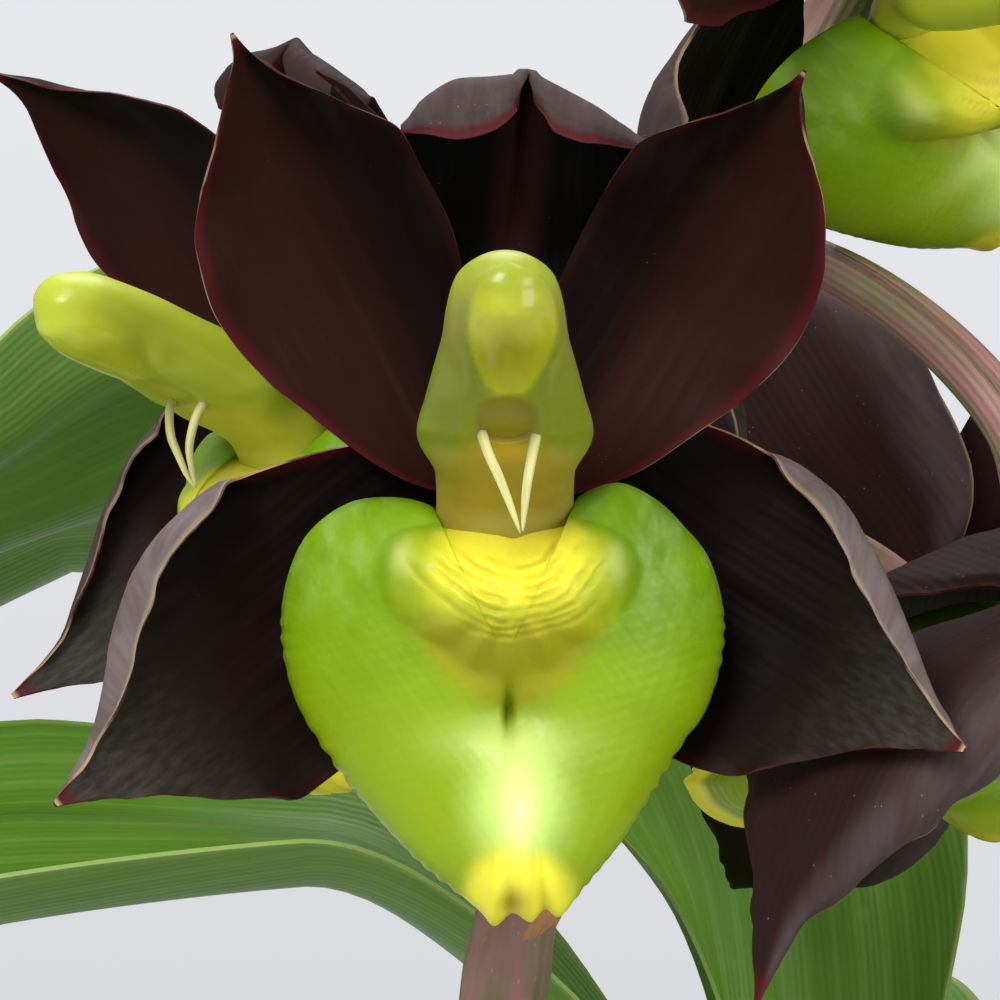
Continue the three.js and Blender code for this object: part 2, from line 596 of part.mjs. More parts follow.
function bulbGeometry( bulb, grow ) {

	const flank = evenly( bulb.rows ).slice( 1 )
		.map( ( s ) => new THREE.Vector2( bulbRadius( bulb, s ) + grow, s * bulb.length ) );
	const outline = [ new THREE.Vector2( 0, - grow ), new THREE.Vector2( bulbRadius( bulb, 0 ) + grow, - grow ),
		...flank, new THREE.Vector2( 0, bulb.length + BULB_TIP ) ];
	const geometry = new THREE.LatheGeometry( outline, bulb.sides );
	geometry.rotateX( Math.PI / 2 );
	geometry.rotateX( bulb.lean[ 0 ] );
	geometry.rotateY( bulb.lean[ 1 ] );
	geometry.translate( bulb.x, bulb.y, bulb.foot );
	return geometry;

}

// Leaves: the way each leaves the leading bulb in degrees, the share of the bulb's length where
// its clasping base starts, its run beyond that, its widest half width, and its turn.
const LEAVES = [
	{ way: 180, from: 0.8, half: 22, turn: [ [ 0, 0 ], [ 0.3, 0.02 ], [ 0.5, 0.26 ], [ 1, 0.3 ] ],
		run: [ point( - 1, 6, 203 ), point( - 5, 9, 218 ), point( - 14, 12, 230 ), point( - 26, 13, 236 ),
			point( - 46, 13, 235.5 ), point( - 80, 8, 217 ), point( - 108, 3, 184 ), point( - 122, 0, 150 ) ] },
	{ way: 110, from: 0.92, half: 21, turn: [ [ 0, 0 ], [ 0.35, 0.05 ], [ 0.5, 0.4 ], [ 1, 0.3 ] ],
		run: [ point( 10, 17, 212 ), point( 9, 24, 231 ), point( 3, 29, 249 ), point( - 10, 30, 262 ),
			point( - 27, 28, 266 ), point( - 46, 26, 261 ), point( - 80, 27, 244 ), point( - 110, 30, 216 ),
			point( - 130, 32, 182 ) ] },
	{ way: 40, from: 0.86, half: 22, turn: [ [ 0, 0 ], [ 0.4, 0.5 ], [ 1, 0.3 ] ],
		run: [ point( 27, 13, 205 ), point( 38, 22, 228 ), point( 53, 35, 246 ), point( 70, 54, 250 ),
			point( 88, 80, 234 ), point( 98, 102, 204 ) ] },
	{ way: - 4, from: 0.72, half: 24, turn: [ [ 0, 0 ], [ 1, - 0.2 ] ],
		run: [ point( 34, 2, 192 ), point( 54, 1, 212 ), point( 84, 0, 219 ), point( 116, - 1, 202 ),
			point( 140, - 2, 168 ), point( 150, - 2, 138 ) ] },
	{ way: 98, from: 0.62, half: 23, turn: [ [ 0, 0 ], [ 1, 0.2 ] ],
		run: [ point( 11, 25, 180 ), point( 8, 46, 204 ), point( 4, 76, 214 ), point( - 1, 108, 198 ),
			point( - 5, 130, 168 ) ] },
	{ way: 184, from: 0.58, half: 23, turn: [ [ 0, 0 ], [ 1, 0.15 ] ],
		run: [ point( - 8, 0, 174 ), point( - 28, - 2, 191 ), point( - 58, - 5, 193 ), point( - 88, - 9, 172 ),
			point( - 108, - 12, 138 ), point( - 113, - 13, 114 ) ] },
	{ way: - 40, from: 0.46, half: 20, turn: [ [ 0, 0 ], [ 1, - 0.1 ] ],
		run: [ point( 34, - 12, 158 ), point( 54, - 28, 176 ), point( 80, - 48, 176 ), point( 104, - 66, 154 ),
			point( 116, - 76, 130 ) ] },
];
const LEAF_CLASP = { rise: 9, width: 7.5, clearance: 0.8 };
const LEAF_WIDTHS = [ [ 0.1, 0.45 ], [ 0.25, 0.78 ], [ 0.45, 1 ], [ 0.65, 0.9 ], [ 0.85, 0.45 ],
	[ 1, 0.03 ] ];
const LEAF_PLEAT = [ [ 0, 0 ], [ 0.2, 0.5 ], [ 0.5, 1.1 ], [ 0.85, 0.5 ], [ 1, 0 ] ];
const LEAF_ROWS = 10;
const LEAF_COLUMNS = 6;

function leafGeometry( leaf ) {

	const bulb = BULBS[ 0 ];
	const way = THREE.MathUtils.degToRad( leaf.way );
	const out = point( Math.cos( way ), Math.sin( way ), 0 );
	const clasp = ( rise ) => {

		const s = leaf.from + rise / bulb.length;
		const reach = Math.max( bulbRadius( bulb, s ), bulbRadius( bulb, s - 0.05 ) )
			+ LEAF_CLASP.clearance + LEAF_THICKNESS;
		return point( bulb.x + reach * out.x, bulb.y + reach * out.y, bulb.foot + s * bulb.length );

	};
	const { rise, width } = LEAF_CLASP;
	const wrap = 1 / ( bulbRadius( bulb, leaf.from ) + LEAF_CLASP.clearance );
	const surface = blade( {
		spine: [ clasp( 0 ), clasp( rise ), ...leaf.run ],
		across: point( out.y, - out.x, 0 ),
		widths: [ [ 0, width ], ...LEAF_WIDTHS.map( ( [ s, share ] ) => [ s, share * leaf.half ] ) ]
			.map( ( [ s, half ] ) => [ s, half, half ] ),
		arch: [ [ 0, wrap ], [ 0.06, wrap ], [ 0.25, 0.02 ], [ 1, 0.01 ] ],
		turn: leaf.turn,
		pleat: LEAF_PLEAT,
	} );
	const across = evenly( LEAF_COLUMNS ).map( ( t ) => 2 * t - 1 );
	return sheet( surface, evenly( LEAF_ROWS ), across, LEAF_THICKNESS );

}

// The pot, with a thicker rim and drainage holes round its middle.
function potGeometry() {

	const { height, baseRadius, neckRadius, rimRadius, rimHeight, wall, floor, sides, holes } = POT;
	const rimFoot = height - rimHeight;
	const outline = [ [ 0, 0 ], [ baseRadius - 1, 0 ], [ baseRadius, 1 ], [ neckRadius, rimFoot ],
		[ rimRadius - 2, rimFoot ], [ rimRadius, rimFoot + 2 ], [ rimRadius, height - 1.5 ],
		[ rimRadius - 1.5, height ], [ rimRadius - wall, height ], [ rimRadius - wall - 1, height - 1 ],
		[ neckRadius - wall + 1, rimFoot ], [ baseRadius - wall, floor ], [ 0, floor ] ];
	const shell = new THREE.LatheGeometry( outline.map( ( [ r, z ] ) => new THREE.Vector2( r, z ) ), sides );
	shell.rotateX( Math.PI / 2 );
	const drains = evenly( holes ).slice( 0, holes ).map( ( t ) => {

		const drain = new THREE.CylinderGeometry( POT.holeRadius, POT.holeRadius, 4 * floor, POT.holeSides );
		drain.rotateX( Math.PI / 2 );
		drain.translate( POT.holeCircle, 0, 0 );
		drain.rotateZ( 2 * Math.PI * t );
		return drain;

	} );
	return cut( shell, drains );

}

// The moss fills the pot. Its top is tufted, and the bulbs and the stem stand in plain holes.
function potInside( z ) {

	const rimFoot = POT.height - POT.rimHeight;
	const low = POT.baseRadius - POT.wall;
	const neck = POT.neckRadius - POT.wall + 1;
	const rim = POT.rimRadius - POT.wall - 1;
	return smooth( [ [ POT.floor, low ], [ rimFoot, neck ] ], z )
		+ ( z > rimFoot ? ( rim - neck ) * ( z - rimFoot ) / ( POT.height - 1 - rimFoot ) : 0 );

}

const mossTop = ( x, y ) => {

	const share = Math.hypot( x, y ) / potInside( MOSS.top );
	const tufts = Math.sin( 0.21 * x + 0.8 ) * Math.cos( 0.19 * y ) + 0.7 * Math.sin( 0.37 * x - 0.29 * y + 2 );
	return MOSS.top - MOSS.drop * share ** 4 + MOSS.tuft * tufts;

};

function mossGeometry( bulbs ) {

	const { rings, sides } = MOSS;
	const clear = 1.4 * GAP;
	const edgeZ = MOSS.top - MOSS.drop - 2 * MOSS.tuft;
	const levels = [ POT.floor + clear, POT.height - POT.rimHeight - clear, edgeZ ];
	const sections = levels.map( ( z ) => evenly( sides ).slice( 0, sides ).map( ( t ) => {

		const inside = Math.min( potInside( z ), potInside( z + clear ) );
		const radius = inside * Math.cos( Math.PI / POT.sides ) - clear;
		return point( radius * Math.cos( 2 * Math.PI * t ), radius * Math.sin( 2 * Math.PI * t ), z );

	} ) );
	const edge = potInside( edgeZ ) * Math.cos( Math.PI / POT.sides ) - clear;
	for ( let ring = rings; ring > 0; ring -- ) {

		sections.push( evenly( sides ).slice( 0, sides ).map( ( t ) => {

			const radius = ( edge - 1 ) * ring / rings;
			const x = radius * Math.cos( 2 * Math.PI * t );
			const y = radius * Math.sin( 2 * Math.PI * t );
			return point( x, y, mossTop( x, y ) );

		} ) );

	}
	const plug = closeRings( point( 0, 0, POT.floor + clear ), sections, point( 0, 0, mossTop( 0, 0 ) ) );
	const holeFoot = STEM[ 0 ].clone().lerp( STEM[ 1 ], - 0.02 );
	const stemHole = tube( [ holeFoot, STEM[ 1 ] ], () => STEM_RADIUS[ 0 ][ 1 ] + 2 * GAP, 2, 10 );
	return cut( plug, [ ...bulbs, stemHole ] );

}

// A flower's stalk runs from the stem to the back of its hub, bowed aside on the way.
function stalkPoints( start, end, straight, bow ) {

	const before = end.clone().addScaledVector( straight, STALK.straight );
	const middle = start.clone().lerp( before, 0.5 ).add( bow );
	return [ start, middle, before, end ];

}

// A small pointed scale at a place of the stem, on the side that way points to.
function scale( place, way, length, half ) {

	const out = point( way.x, way.y, 0 ).normalize();
	const foot = place.clone().addScaledVector( out, - SCALE.sink );
	const along = ( lean, rise ) => foot.clone().addScaledVector( out, lean ).addScaledVector( UP, rise );
	const surface = blade( {
		spine: [ foot, along( SCALE.lean[ 0 ], 0.45 * length ), along( SCALE.lean[ 1 ], length ) ],
		across: point( out.y, - out.x, 0 ),
		widths: [ [ 0, half, half ], [ 0.5, 0.8 * half, 0.8 * half ], [ 1, 0.35, 0.35 ] ],
		arch: [ [ 0, 0.2 ], [ 1, 0.1 ] ],
	} );
	return sheet( surface, evenly( 2 ), [ - 1, 0, 1 ], SCALE.thickness );

}

function stemGeometry( groups ) {

	const curve = path( STEM );
	const parts = [ tube( STEM, ( s ) => smooth( STEM_RADIUS, s ), STEM_STEPS, STEM_SIDES ) ];
	FLOWERS.forEach( ( flower, i ) => {

		const start = curve( flower.root );
		const end = point( 0, HUB.y + HUB.radius + GAP, HUB.z ).applyMatrix4( groups[ i ].matrixWorld );
		const straight = flower.facing.clone().negate().normalize();
		const points = stalkPoints( start, end, straight, flower.bow );
		const widening = ( s ) => STALK.root + ( STALK.end - STALK.root ) * s;
		parts.push( tube( points, widening, STALK.steps, STALK.sides ) );
		const foot = start.clone().addScaledVector( UP, - SCALE.below );
		parts.push( scale( foot, points[ 1 ].clone().sub( start ), SCALE.length, SCALE.half ) );

	} );
	BUDS.forEach( ( bud ) => {

		const { start, way } = budRoot( bud );
		const end = bud.at.clone().addScaledVector( way, - 0.5 * bud.length - GAP );
		parts.push( tube( [ start, end ], () => BUD_STALK.radius, 2, BUD_STALK.sides ) );

	} );
	JOINT_SCALES.forEach( ( { place, side, length, half } ) => {

		parts.push( scale( curve( place ), point( side, - 0.4, 0 ), length, half ) );

	} );
	return join( parts );

}

// Where a bud's stalk starts in the stem, and the way it runs.
function budRoot( bud ) {

	const start = path( STEM )( bud.root - BUD_STALK.sink );
	return { start, way: bud.at.clone().sub( start ).normalize() };

}

function budGeometry( bud ) {

	const { way } = budRoot( bud );
	const ends = [ - 0.5, 0, 0.5 ].map( ( t ) => bud.at.clone().addScaledVector( way, t * bud.length ) );
	return tube( ends, ( s ) => bud.radius * smooth( BUD.shape, s ), BUD.steps, BUD.sides );

}

// The plant

const plant = new THREE.Group();

const bulbHoles = BULBS.map( ( bulb ) => bulbGeometry( bulb, GAP ) );
plant.add( piece( 'pot', potGeometry(), COLOUR.clay, 0.85 ) );
plant.add( piece( 'moss', mossGeometry( bulbHoles ), COLOUR.moss, 0.95 ) );
BULBS.forEach( ( bulb, i ) => {

	plant.add( piece( `bulb_${ i + 1 }`, bulbGeometry( bulb, 0 ), COLOUR.bulb, 0.6 ) );

} );
LEAVES.forEach( ( leaf, i ) => {

	plant.add( piece( `leaf_${ i + 1 }`, leafGeometry( leaf ), COLOUR.leaf, 0.5 ) );

} );

const groups = FLOWERS.map( flowerGroup );
const shapes = new Map( [ FINE, PLAIN ].map( ( detail ) => [ detail, {
	tepals: tepals( detail ), lip: lip( detail ), column: column( detail ) } ] ) );
groups.forEach( ( group, i ) => {

	const shape = shapes.get( FLOWERS[ i ].detail ?? PLAIN );
	group.add( piece( `flower_${ i + 1 }_tepals`, shape.tepals, COLOUR.tepal, 0.45 ) );
	group.add( piece( `flower_${ i + 1 }_lip`, shape.lip, COLOUR.lip, 0.35 ) );
	group.add( piece( `flower_${ i + 1 }_column`, shape.column, COLOUR.column, 0.35 ) );
	plant.add( group );

} );
plant.add( piece( 'flower_stem', stemGeometry( groups ), COLOUR.stem, 0.6 ) );
BUDS.forEach( ( bud, i ) => {

	plant.add( piece( `bud_${ i + 1 }`, budGeometry( bud ), COLOUR.bud, 0.5 ) );

} );

export default plant;
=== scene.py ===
"""A Catasetum tenebrosum orchid in a clay pot: moss, bulbs, pleated leaves and a spray of flowers."""
import math

import bmesh
import bpy
import numpy as np
from bpy.props import FloatProperty, FloatVectorProperty, IntProperty, PointerProperty
from mathutils import Matrix, Vector


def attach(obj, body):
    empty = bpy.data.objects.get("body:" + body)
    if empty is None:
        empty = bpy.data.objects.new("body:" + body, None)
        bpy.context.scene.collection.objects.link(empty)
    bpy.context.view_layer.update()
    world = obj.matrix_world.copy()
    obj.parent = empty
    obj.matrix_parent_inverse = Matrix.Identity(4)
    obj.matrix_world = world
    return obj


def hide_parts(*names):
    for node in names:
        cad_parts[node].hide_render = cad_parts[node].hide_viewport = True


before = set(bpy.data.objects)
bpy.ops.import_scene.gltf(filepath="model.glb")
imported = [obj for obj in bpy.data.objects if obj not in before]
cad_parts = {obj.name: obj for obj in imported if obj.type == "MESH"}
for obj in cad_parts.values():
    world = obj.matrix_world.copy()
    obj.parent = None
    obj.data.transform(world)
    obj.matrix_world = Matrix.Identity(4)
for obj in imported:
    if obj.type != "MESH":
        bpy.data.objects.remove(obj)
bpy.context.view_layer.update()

bl_info = {
    "name": "Potted Catasetum orchid",
    "version": (1, 0, 0),
    "blender": (4, 5, 0),
    "location": "3D View > Sidebar > Orchid",
    "description": "Models a potted Catasetum tenebrosum on its solid frame",
    "category": "Add Mesh",
}

MM = 0.001
# The share of a ball's height that counts as its pole, and the steps in which a sheet's thickness changes
POLE = 1e-6
THICKNESS_STEPS = 16
# How the pattern of a leaf's veins is stretched, and the width of the camera's sensor
VEINS = (1, 0.002, 1)
SENSOR = 36


def paint(red, green, blue):
    """The linear colour of a screen colour with parts from 0 to 255."""
    shares = [value / 255 for value in (red, green, blue)]
    return tuple(v / 12.92 if v <= 0.04045 else ((v + 0.055) / 1.055) ** 2.4 for v in shares)


def colour(name, description, red, green, blue):
    """A colour property."""
    return FloatVectorProperty(name=name, description=description, subtype="COLOR", size=3, min=0, max=1,
                               default=paint(red, green, blue))


def length(name, description, millimetres):
    """A length property, given in millimetres."""
    return FloatProperty(name=name, description=description, unit="LENGTH", min=0, default=millimetres * MM,
                         precision=5)


# Curves and surfaces, in millimetres

def eased(rows, x, column=1):
    """A smooth curve through the rows' values in one column, which never swings past them."""
    knots = np.array([row[0] for row in rows], float)
    values = np.array([row[column] for row in rows], float)
    x = np.clip(x, knots[0], knots[-1])
    rise = np.diff(values) / np.diff(knots)
    slope = np.zeros(len(knots))
    slope[0] = rise[0]
    slope[-1] = rise[-1]
    product = rise[:-1] * rise[1:]
    total = rise[:-1] + rise[1:]
    slope[1:-1] = np.where(product > 0, 2 * product / np.where(total == 0, 1, total), 0)
    i = np.clip(np.searchsorted(knots, x, side="left") - 1, 0, len(knots) - 2)
    span = knots[i + 1] - knots[i]
    t = (x - knots[i]) / span
    swell = span * t * (1 - t) * (slope[i] * (1 - t) - slope[i + 1] * t)
    return values[i] + (values[i + 1] - values[i]) * t * t * (3 - 2 * t) + swell


def unit(vectors):
    """Vectors of length one."""
    return vectors / np.linalg.norm(vectors, axis=-1, keepdims=True)


def hill(x, z, middle_x, middle_z, radius_x, radius_z, power=2):
    """A rounded hill over a place."""
    return np.exp(-np.abs((x - middle_x) / radius_x) ** power - np.abs((z - middle_z) / radius_z) ** power)


def step(low, high, x):
    """A soft step from 0 at low to 1 at high."""
    t = np.clip((x - low) / (high - low), 0, 1)
    return t * t * (3 - 2 * t)


def ripple(x, y, seed=0.0):
    """An uneven wave between about -1 and 1."""
    wave = np.sin(1.7 * x + 1.3 * y + seed) + np.sin(-2.3 * x + 0.9 * y + 2.1 * seed + 1)
    wave += np.sin(0.8 * x - 2.9 * y + 0.7 * seed + 2) + np.sin(3.1 * x + 2.3 * y + 1.9 * seed)
    return wave / 4


class Route:
    """A path through points, read by its share of the length."""

    def __init__(self, points):
        points = np.array(points, float)
        steps = np.linalg.norm(np.diff(points, axis=0), axis=1)
        reach = np.concatenate([[0], np.cumsum(steps)])
        self.length = reach[-1]
        self.rows = np.column_stack([reach / reach[-1], points])

    def at(self, s):
        """The path's places."""
        return np.stack([eased(self.rows, s, k) for k in (1, 2, 3)], axis=-1)

    def way(self, s):
        """The way the path runs."""
        return unit(self.at(np.minimum(s + 1e-3, 1)) - self.at(np.maximum(s - 1e-3, 0)))


def blade(form, s, u):
    """Places on a blade, s from base to tip and u from -1 to 1 across, and their way from the middle."""
    route = Route(form["spine"])
    way = route.way(s)
    across = np.array(form["across"], float)
    side = unit(across - (way @ across)[..., None] * way)
    face = np.cross(side, way)
    lift = eased(form["turn"], s) if "turn" in form else 0 * s
    right = side * np.cos(lift)[..., None] + face * np.sin(lift)[..., None]
    front = np.cross(right, way)
    width = np.where(u < 0, eased(form["widths"], s, 1), eased(form["widths"], s, 2))
    strip = 0 * s
    bend = 0 * s + 0.01
    for key, here in (("curl_left", u < 0), ("curl_right", u >= 0)):
        if key in form:
            strip = np.where(here, eased(form[key], s, 1), strip)
            bend = np.where(here, np.maximum(eased(form[key], s, 2), 0.01), bend)
    kept = np.maximum(width - strip / bend * np.sin(np.minimum(bend, math.pi / 2)), 0)
    distance = np.abs(u) * (kept + strip)
    flat = np.minimum(distance, kept)
    curvature = np.maximum(eased(form["arch"], s), 1e-4)
    angle = curvature * flat
    swing = angle + bend * (distance - flat) / np.where(strip > 0, strip, 1)
    sideways = np.sin(angle) / curvature + strip / bend * (np.sin(swing) - np.sin(angle))
    forward = (1 - np.cos(angle)) / curvature + strip / bend * (np.cos(angle) - np.cos(swing))
    if "pleat" in form:
        forward = forward - eased(form["pleat"], s) * np.cos(3 * math.pi * u)
    if "relief" in form:
        forward = forward + form["relief"](s, u, np.sign(u) * distance, s * route.length)
    places = route.at(s) + right * (np.sign(u) * sideways)[..., None] + front * forward[..., None]
    return places, np.sign(u) * distance, s * route.length


# Meshes

def alone(*pieces):
    """Selects some pieces and nothing else, with the first one active."""
    bpy.ops.object.select_all(action="DESELECT")
    for piece in pieces:
        piece.select_set(True)
    if pieces:
        bpy.context.view_layer.objects.active = pieces[0]


def vertex_places(piece):
    """A mesh's vertices as rows of x, y and z."""
    places = np.empty(len(piece.data.vertices) * 3)
    piece.data.vertices.foreach_get("co", places)
    return places.reshape(-1, 3)


def set_places(piece, places):
    """Puts a mesh's vertices at places in millimetres."""
    piece.data.vertices.foreach_set("co", (np.asarray(places) * MM).ravel())
    piece.data.update()


def set_uv(piece, across, along):
    """Lays a mesh's UV map by two values of its vertices, in centimetres."""
    corners = np.empty(len(piece.data.loops), int)
    piece.data.loops.foreach_get("vertex_index", corners)
    layer = piece.data.uv_layers.active or piece.data.uv_layers.new(name="UVMap")
    flat = np.column_stack([across, along]) / 10
    layer.data.foreach_set("uv", flat[corners].ravel())


def set_masks(piece, **masks):
    """Keeps values of each vertex, which the material reads by their names."""
    for name, values in masks.items():
        mask = piece.data.attributes.new(name, "FLOAT", "POINT")
        mask.data.foreach_set("value", np.broadcast_to(values, len(piece.data.vertices)).astype(np.float32))


def add_grid(rows, columns):
    """A new flat grid, with s and u of its vertices."""
    alone()
    bpy.ops.mesh.primitive_grid_add(x_subdivisions=columns, y_subdivisions=rows, size=2, calc_uvs=True)
    piece = bpy.context.object
    places = vertex_places(piece)
    return piece, (places[:, 1] + 1) / 2, places[:, 0]


def add_ball(rings, segments):
    """A new ball, with s of its vertices from the lower pole to the upper one and their turn round it."""
    alone()
    bpy.ops.mesh.primitive_uv_sphere_add(segments=segments, ring_count=rings, radius=1)
    piece = bpy.context.object
    x, y, z = vertex_places(piece).T
    return piece, 1 - np.arccos(np.clip(z, -1, 1)) / math.pi, np.arctan2(y, x)


def thicken(piece, thickness, edge_share):
    """Gives a sheet its thickness, thinner at its margins. Its back and rim take their own materials."""
    alone(piece)
    group = piece.vertex_groups.new(name="thick")
    shares = np.round(np.asarray(edge_share) * THICKNESS_STEPS) / THICKNESS_STEPS
    for share in np.unique(shares):
        group.add([int(i) for i in np.flatnonzero(shares == share)], float(share), "REPLACE")
    wall = piece.modifiers.new("Wall", "SOLIDIFY")
    wall.thickness = thickness
    wall.offset = -1
    wall.vertex_group = "thick"
    wall.thickness_vertex_group = 0
    wall.material_offset = 1
    wall.material_offset_rim = 2
    bpy.ops.object.modifier_apply(modifier="Wall")
    piece.vertex_groups.clear()


def give(piece, *materials):
    """Gives a piece its materials."""
    piece.data.materials.clear()
    for material in materials:
        piece.data.materials.append(material)


def joined(pieces):
    """Joins pieces into the first one."""
    alone(*pieces)
    bpy.ops.object.join()
    return pieces[0]


def smooth(piece, degrees=180):
    """Shades a piece smoothly, but for edges that turn by more than an angle."""
    alone(piece)
    bpy.ops.object.shade_smooth_by_angle(angle=math.radians(degrees))


def settle(piece, name, node):
    """Names a finished piece, lets it ride on the plant and replace its solid."""
    piece.name = name
    piece.data.name = name
    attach(piece, "root")
    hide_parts(node)


def twin(piece, matrix):
    """A copy of a piece with its own mesh, put in its place."""
    copy = piece.copy()
    copy.data = piece.data.copy()
    bpy.context.collection.objects.link(copy)
    copy.data.transform(matrix)
    return copy


def add_tube(points, radius, steps, sides):
    """A round tube along a path, closed at both ends. Its radius is a function of s."""
    piece, s, turn = add_ball(steps + 2, sides)
    pole = (s < POLE) | (s > 1 - POLE)
    s = np.clip((s - 1 / (steps + 2)) / (1 - 2 / (steps + 2)), 0, 1)
    route = Route(points)
    ways = route.way(np.linspace(0, 1, steps + 1))
    aside = np.array([1.0, 0, 0]) if abs(ways[0][0]) < 0.9 else np.array([0, 1.0, 0])
    normals = []
    for way in ways:
        aside = unit(aside - aside @ way * way)
        normals.append(aside)
    near = np.clip(np.round(s * steps).astype(int), 0, steps)
    normal = np.array(normals)[near]
    binormal = np.cross(ways[near], normal)
    size = np.where(pole, 0, radius(s))
    places = route.at(s) + normal * (size * np.cos(turn))[:, None] + binormal * (size * np.sin(turn))[:, None]
    set_places(piece, places)
    set_uv(piece, turn * 3, s * route.length)
    return piece, s, turn, places


# Materials

class Nodes:
    """The nodes of a material or of the world. A word in place of a value means the mask of that name."""

    def __init__(self, owner, shader):
        owner.use_nodes = True
        self.tree = owner.node_tree
        self.shader = self.tree.nodes[shader]

    def set(self, socket, value):
        """Sets or links one of the shader's sockets."""
        self.feed(self.shader.inputs[socket], value)

    def feed(self, socket, value):
        """Sets a socket, or links another to it."""
        if isinstance(value, str):
            value = self.node("Attribute", "Fac", attribute_name=value)
        if isinstance(value, bpy.types.NodeSocket):
            self.tree.links.new(value, socket)
        elif hasattr(value, "__len__") and len(socket.default_value) == 4:
            socket.default_value = (*value, 1)
        else:
            socket.default_value = value

    def node(self, kind, result, inputs=None, **settings):
        """A result of a new node."""
        node = self.tree.nodes.new("ShaderNode" + kind)
        for key, value in settings.items():
            setattr(node, key, value)
        for socket, value in (inputs or {}).items():
            self.feed(node.inputs[socket], value)
        return node.outputs[result]

    def sum(self, operation, *values):
        """A sum of values."""
        return self.node("Math", "Value", dict(enumerate(values)), operation=operation)

    def times(self, first, *others):
        """The product of values."""
        for value in others:
            first = self.sum("MULTIPLY", first, value)
        return first

    def mix(self, share, first, second):
        """Two colours mixed by a share."""
        return self.node("Mix", 2, {0: share, 6: first, 7: second}, data_type="RGBA")


class Finish(Nodes):
    """One material. Its colour is laid on in coats, each over those before it."""

    def __init__(self, name, roughness=0.5, specular=0.5, kind="UV"):
        self.material = bpy.data.materials.new(name)
        super().__init__(self.material, "Principled BSDF")
        self.kind = kind
        self.base = None
        self.relief = None
        self.set("Roughness", roughness)
        self.set("Specular IOR Level", specular)

    def where(self, *scale):
        """Stretched coordinates of the piece: its own UV map in centimetres, or its places in metres."""
        source = self.node("TexCoord", self.kind)
        return self.node("Mapping", "Vector", {"Vector": source, "Scale": scale or (1, 1, 1)})

    def noise(self, where, scale, detail=3, roughness=0.5):
        """A cloudy pattern."""
        inputs = {"Vector": where, "Scale": scale, "Detail": detail, "Roughness": roughness}
        return self.node("TexNoise", "Fac", inputs)

    def cells(self, where, scale):
        """A pattern of cells."""
        return self.node("TexVoronoi", "Distance", {"Vector": where, "Scale": scale})

    def bands(self, where, scale, distortion, detail=2):
        """Soft bands that lie side by side."""
        inputs = {"Vector": where, "Scale": scale, "Distortion": distortion, "Detail": detail}
        return self.node("TexWave", "Fac", inputs)

    def ramp(self, value, low, high, start=0, end=1):
        """A value spread from low..high to start..end, with soft ends."""
        inputs = {"Value": value, "From Min": low, "From Max": high, "To Min": start, "To Max": end}
        return self.node("MapRange", "Result", inputs, interpolation_type="SMOOTHSTEP")

    def clouds(self, stretch, scale, detail, low, high, roughness=0.5):
        """A cloudy pattern from 0 to 1."""
        return self.ramp(self.noise(self.where(*stretch), scale, detail, roughness), low, high)

    def coat(self, share, colour, strength=1):
        """Lays a colour on by a share."""
        if strength != 1:
            share = self.times(share, strength)
        self.base = self.mix(share, self.base, colour)

    def bump(self, height, distance, strength):
        """A relief in the surface, in millimetres, on top of the one before."""
        inputs = {"Height": height, "Distance": distance * MM, "Strength": strength}
        if self.relief:
            inputs["Normal"] = self.relief
        self.relief = self.node("Bump", "Normal", inputs)
        self.set("Normal", self.relief)

    def done(self):
        """The finished material."""
        self.set("Base Color", self.base)
        return self.material


# The flower's own frame has +Z up, +X to the right and -Y towards the viewer it faces

HERO = (-12, -62, 262)
HUB = (0, 4.6, 0.3)
HUB_RADIUS = 3.2
# The hood's length on its UV map, and how far apart the five tepals lie there
HOOD_RUN = 26
UV_APART = 40

PETAL_LEFT = {
    "spine": [(-1, 4.4, 0.5), (-3.4, 3.4, 3), (-7.5, 2.4, 10.5), (-11, -0.5, 17.3), (-13.3, -4.8, 21.6),
              (-14.5, -8.5, 24.2)],
    "across": (1, 0.12, 0.53),
    "widths": [(0, 1.2, 1.2), (0.15, 4.2, 3.4), (0.25, 5.8, 4.8), (0.35, 7.3, 5.4), (0.5, 8.1, 6),
               (0.63, 7.3, 5.8), (0.73, 5.4, 3.8), (0.81, 3.3, 2.3), (0.9, 1.2, 0.9), (0.95, 0.45, 0.4),
               (1, 0.1, 0.1)],
    "arch": [(0, 0.05), (0.5, 0.03), (1, 0.01)],
}
PETAL_RIGHT = {
    "spine": [(1, 4.4, 0.5), (3.6, 3.4, 2.9), (8.4, 2.4, 10.3), (12.1, -0.5, 16.1), (14.4, -4.8, 19.9),
              (15.9, -8.5, 22.2)],
    "across": (1, -0.12, -0.63),
    "widths": [(0, 1.2, 1.2), (0.15, 3.3, 4.2), (0.25, 4.6, 5.7), (0.35, 5.2, 7.1), (0.5, 5.8, 7.8),
               (0.63, 5.7, 7), (0.73, 4, 5.4), (0.81, 2.4, 3.4), (0.9, 0.9, 1.3), (0.95, 0.4, 0.45),
               (1, 0.1, 0.1)],
    "arch": [(0, 0.05), (0.5, 0.03), (1, 0.01)],
}
SEPAL_CURL = [
    (0, 0.3, 0.1), (0.25, 1.5, 0.8), (0.42, 4, 2.4), (0.72, 3.2, 2.5), (0.86, 1.2, 1.6), (1, 0.2, 0.3),
]
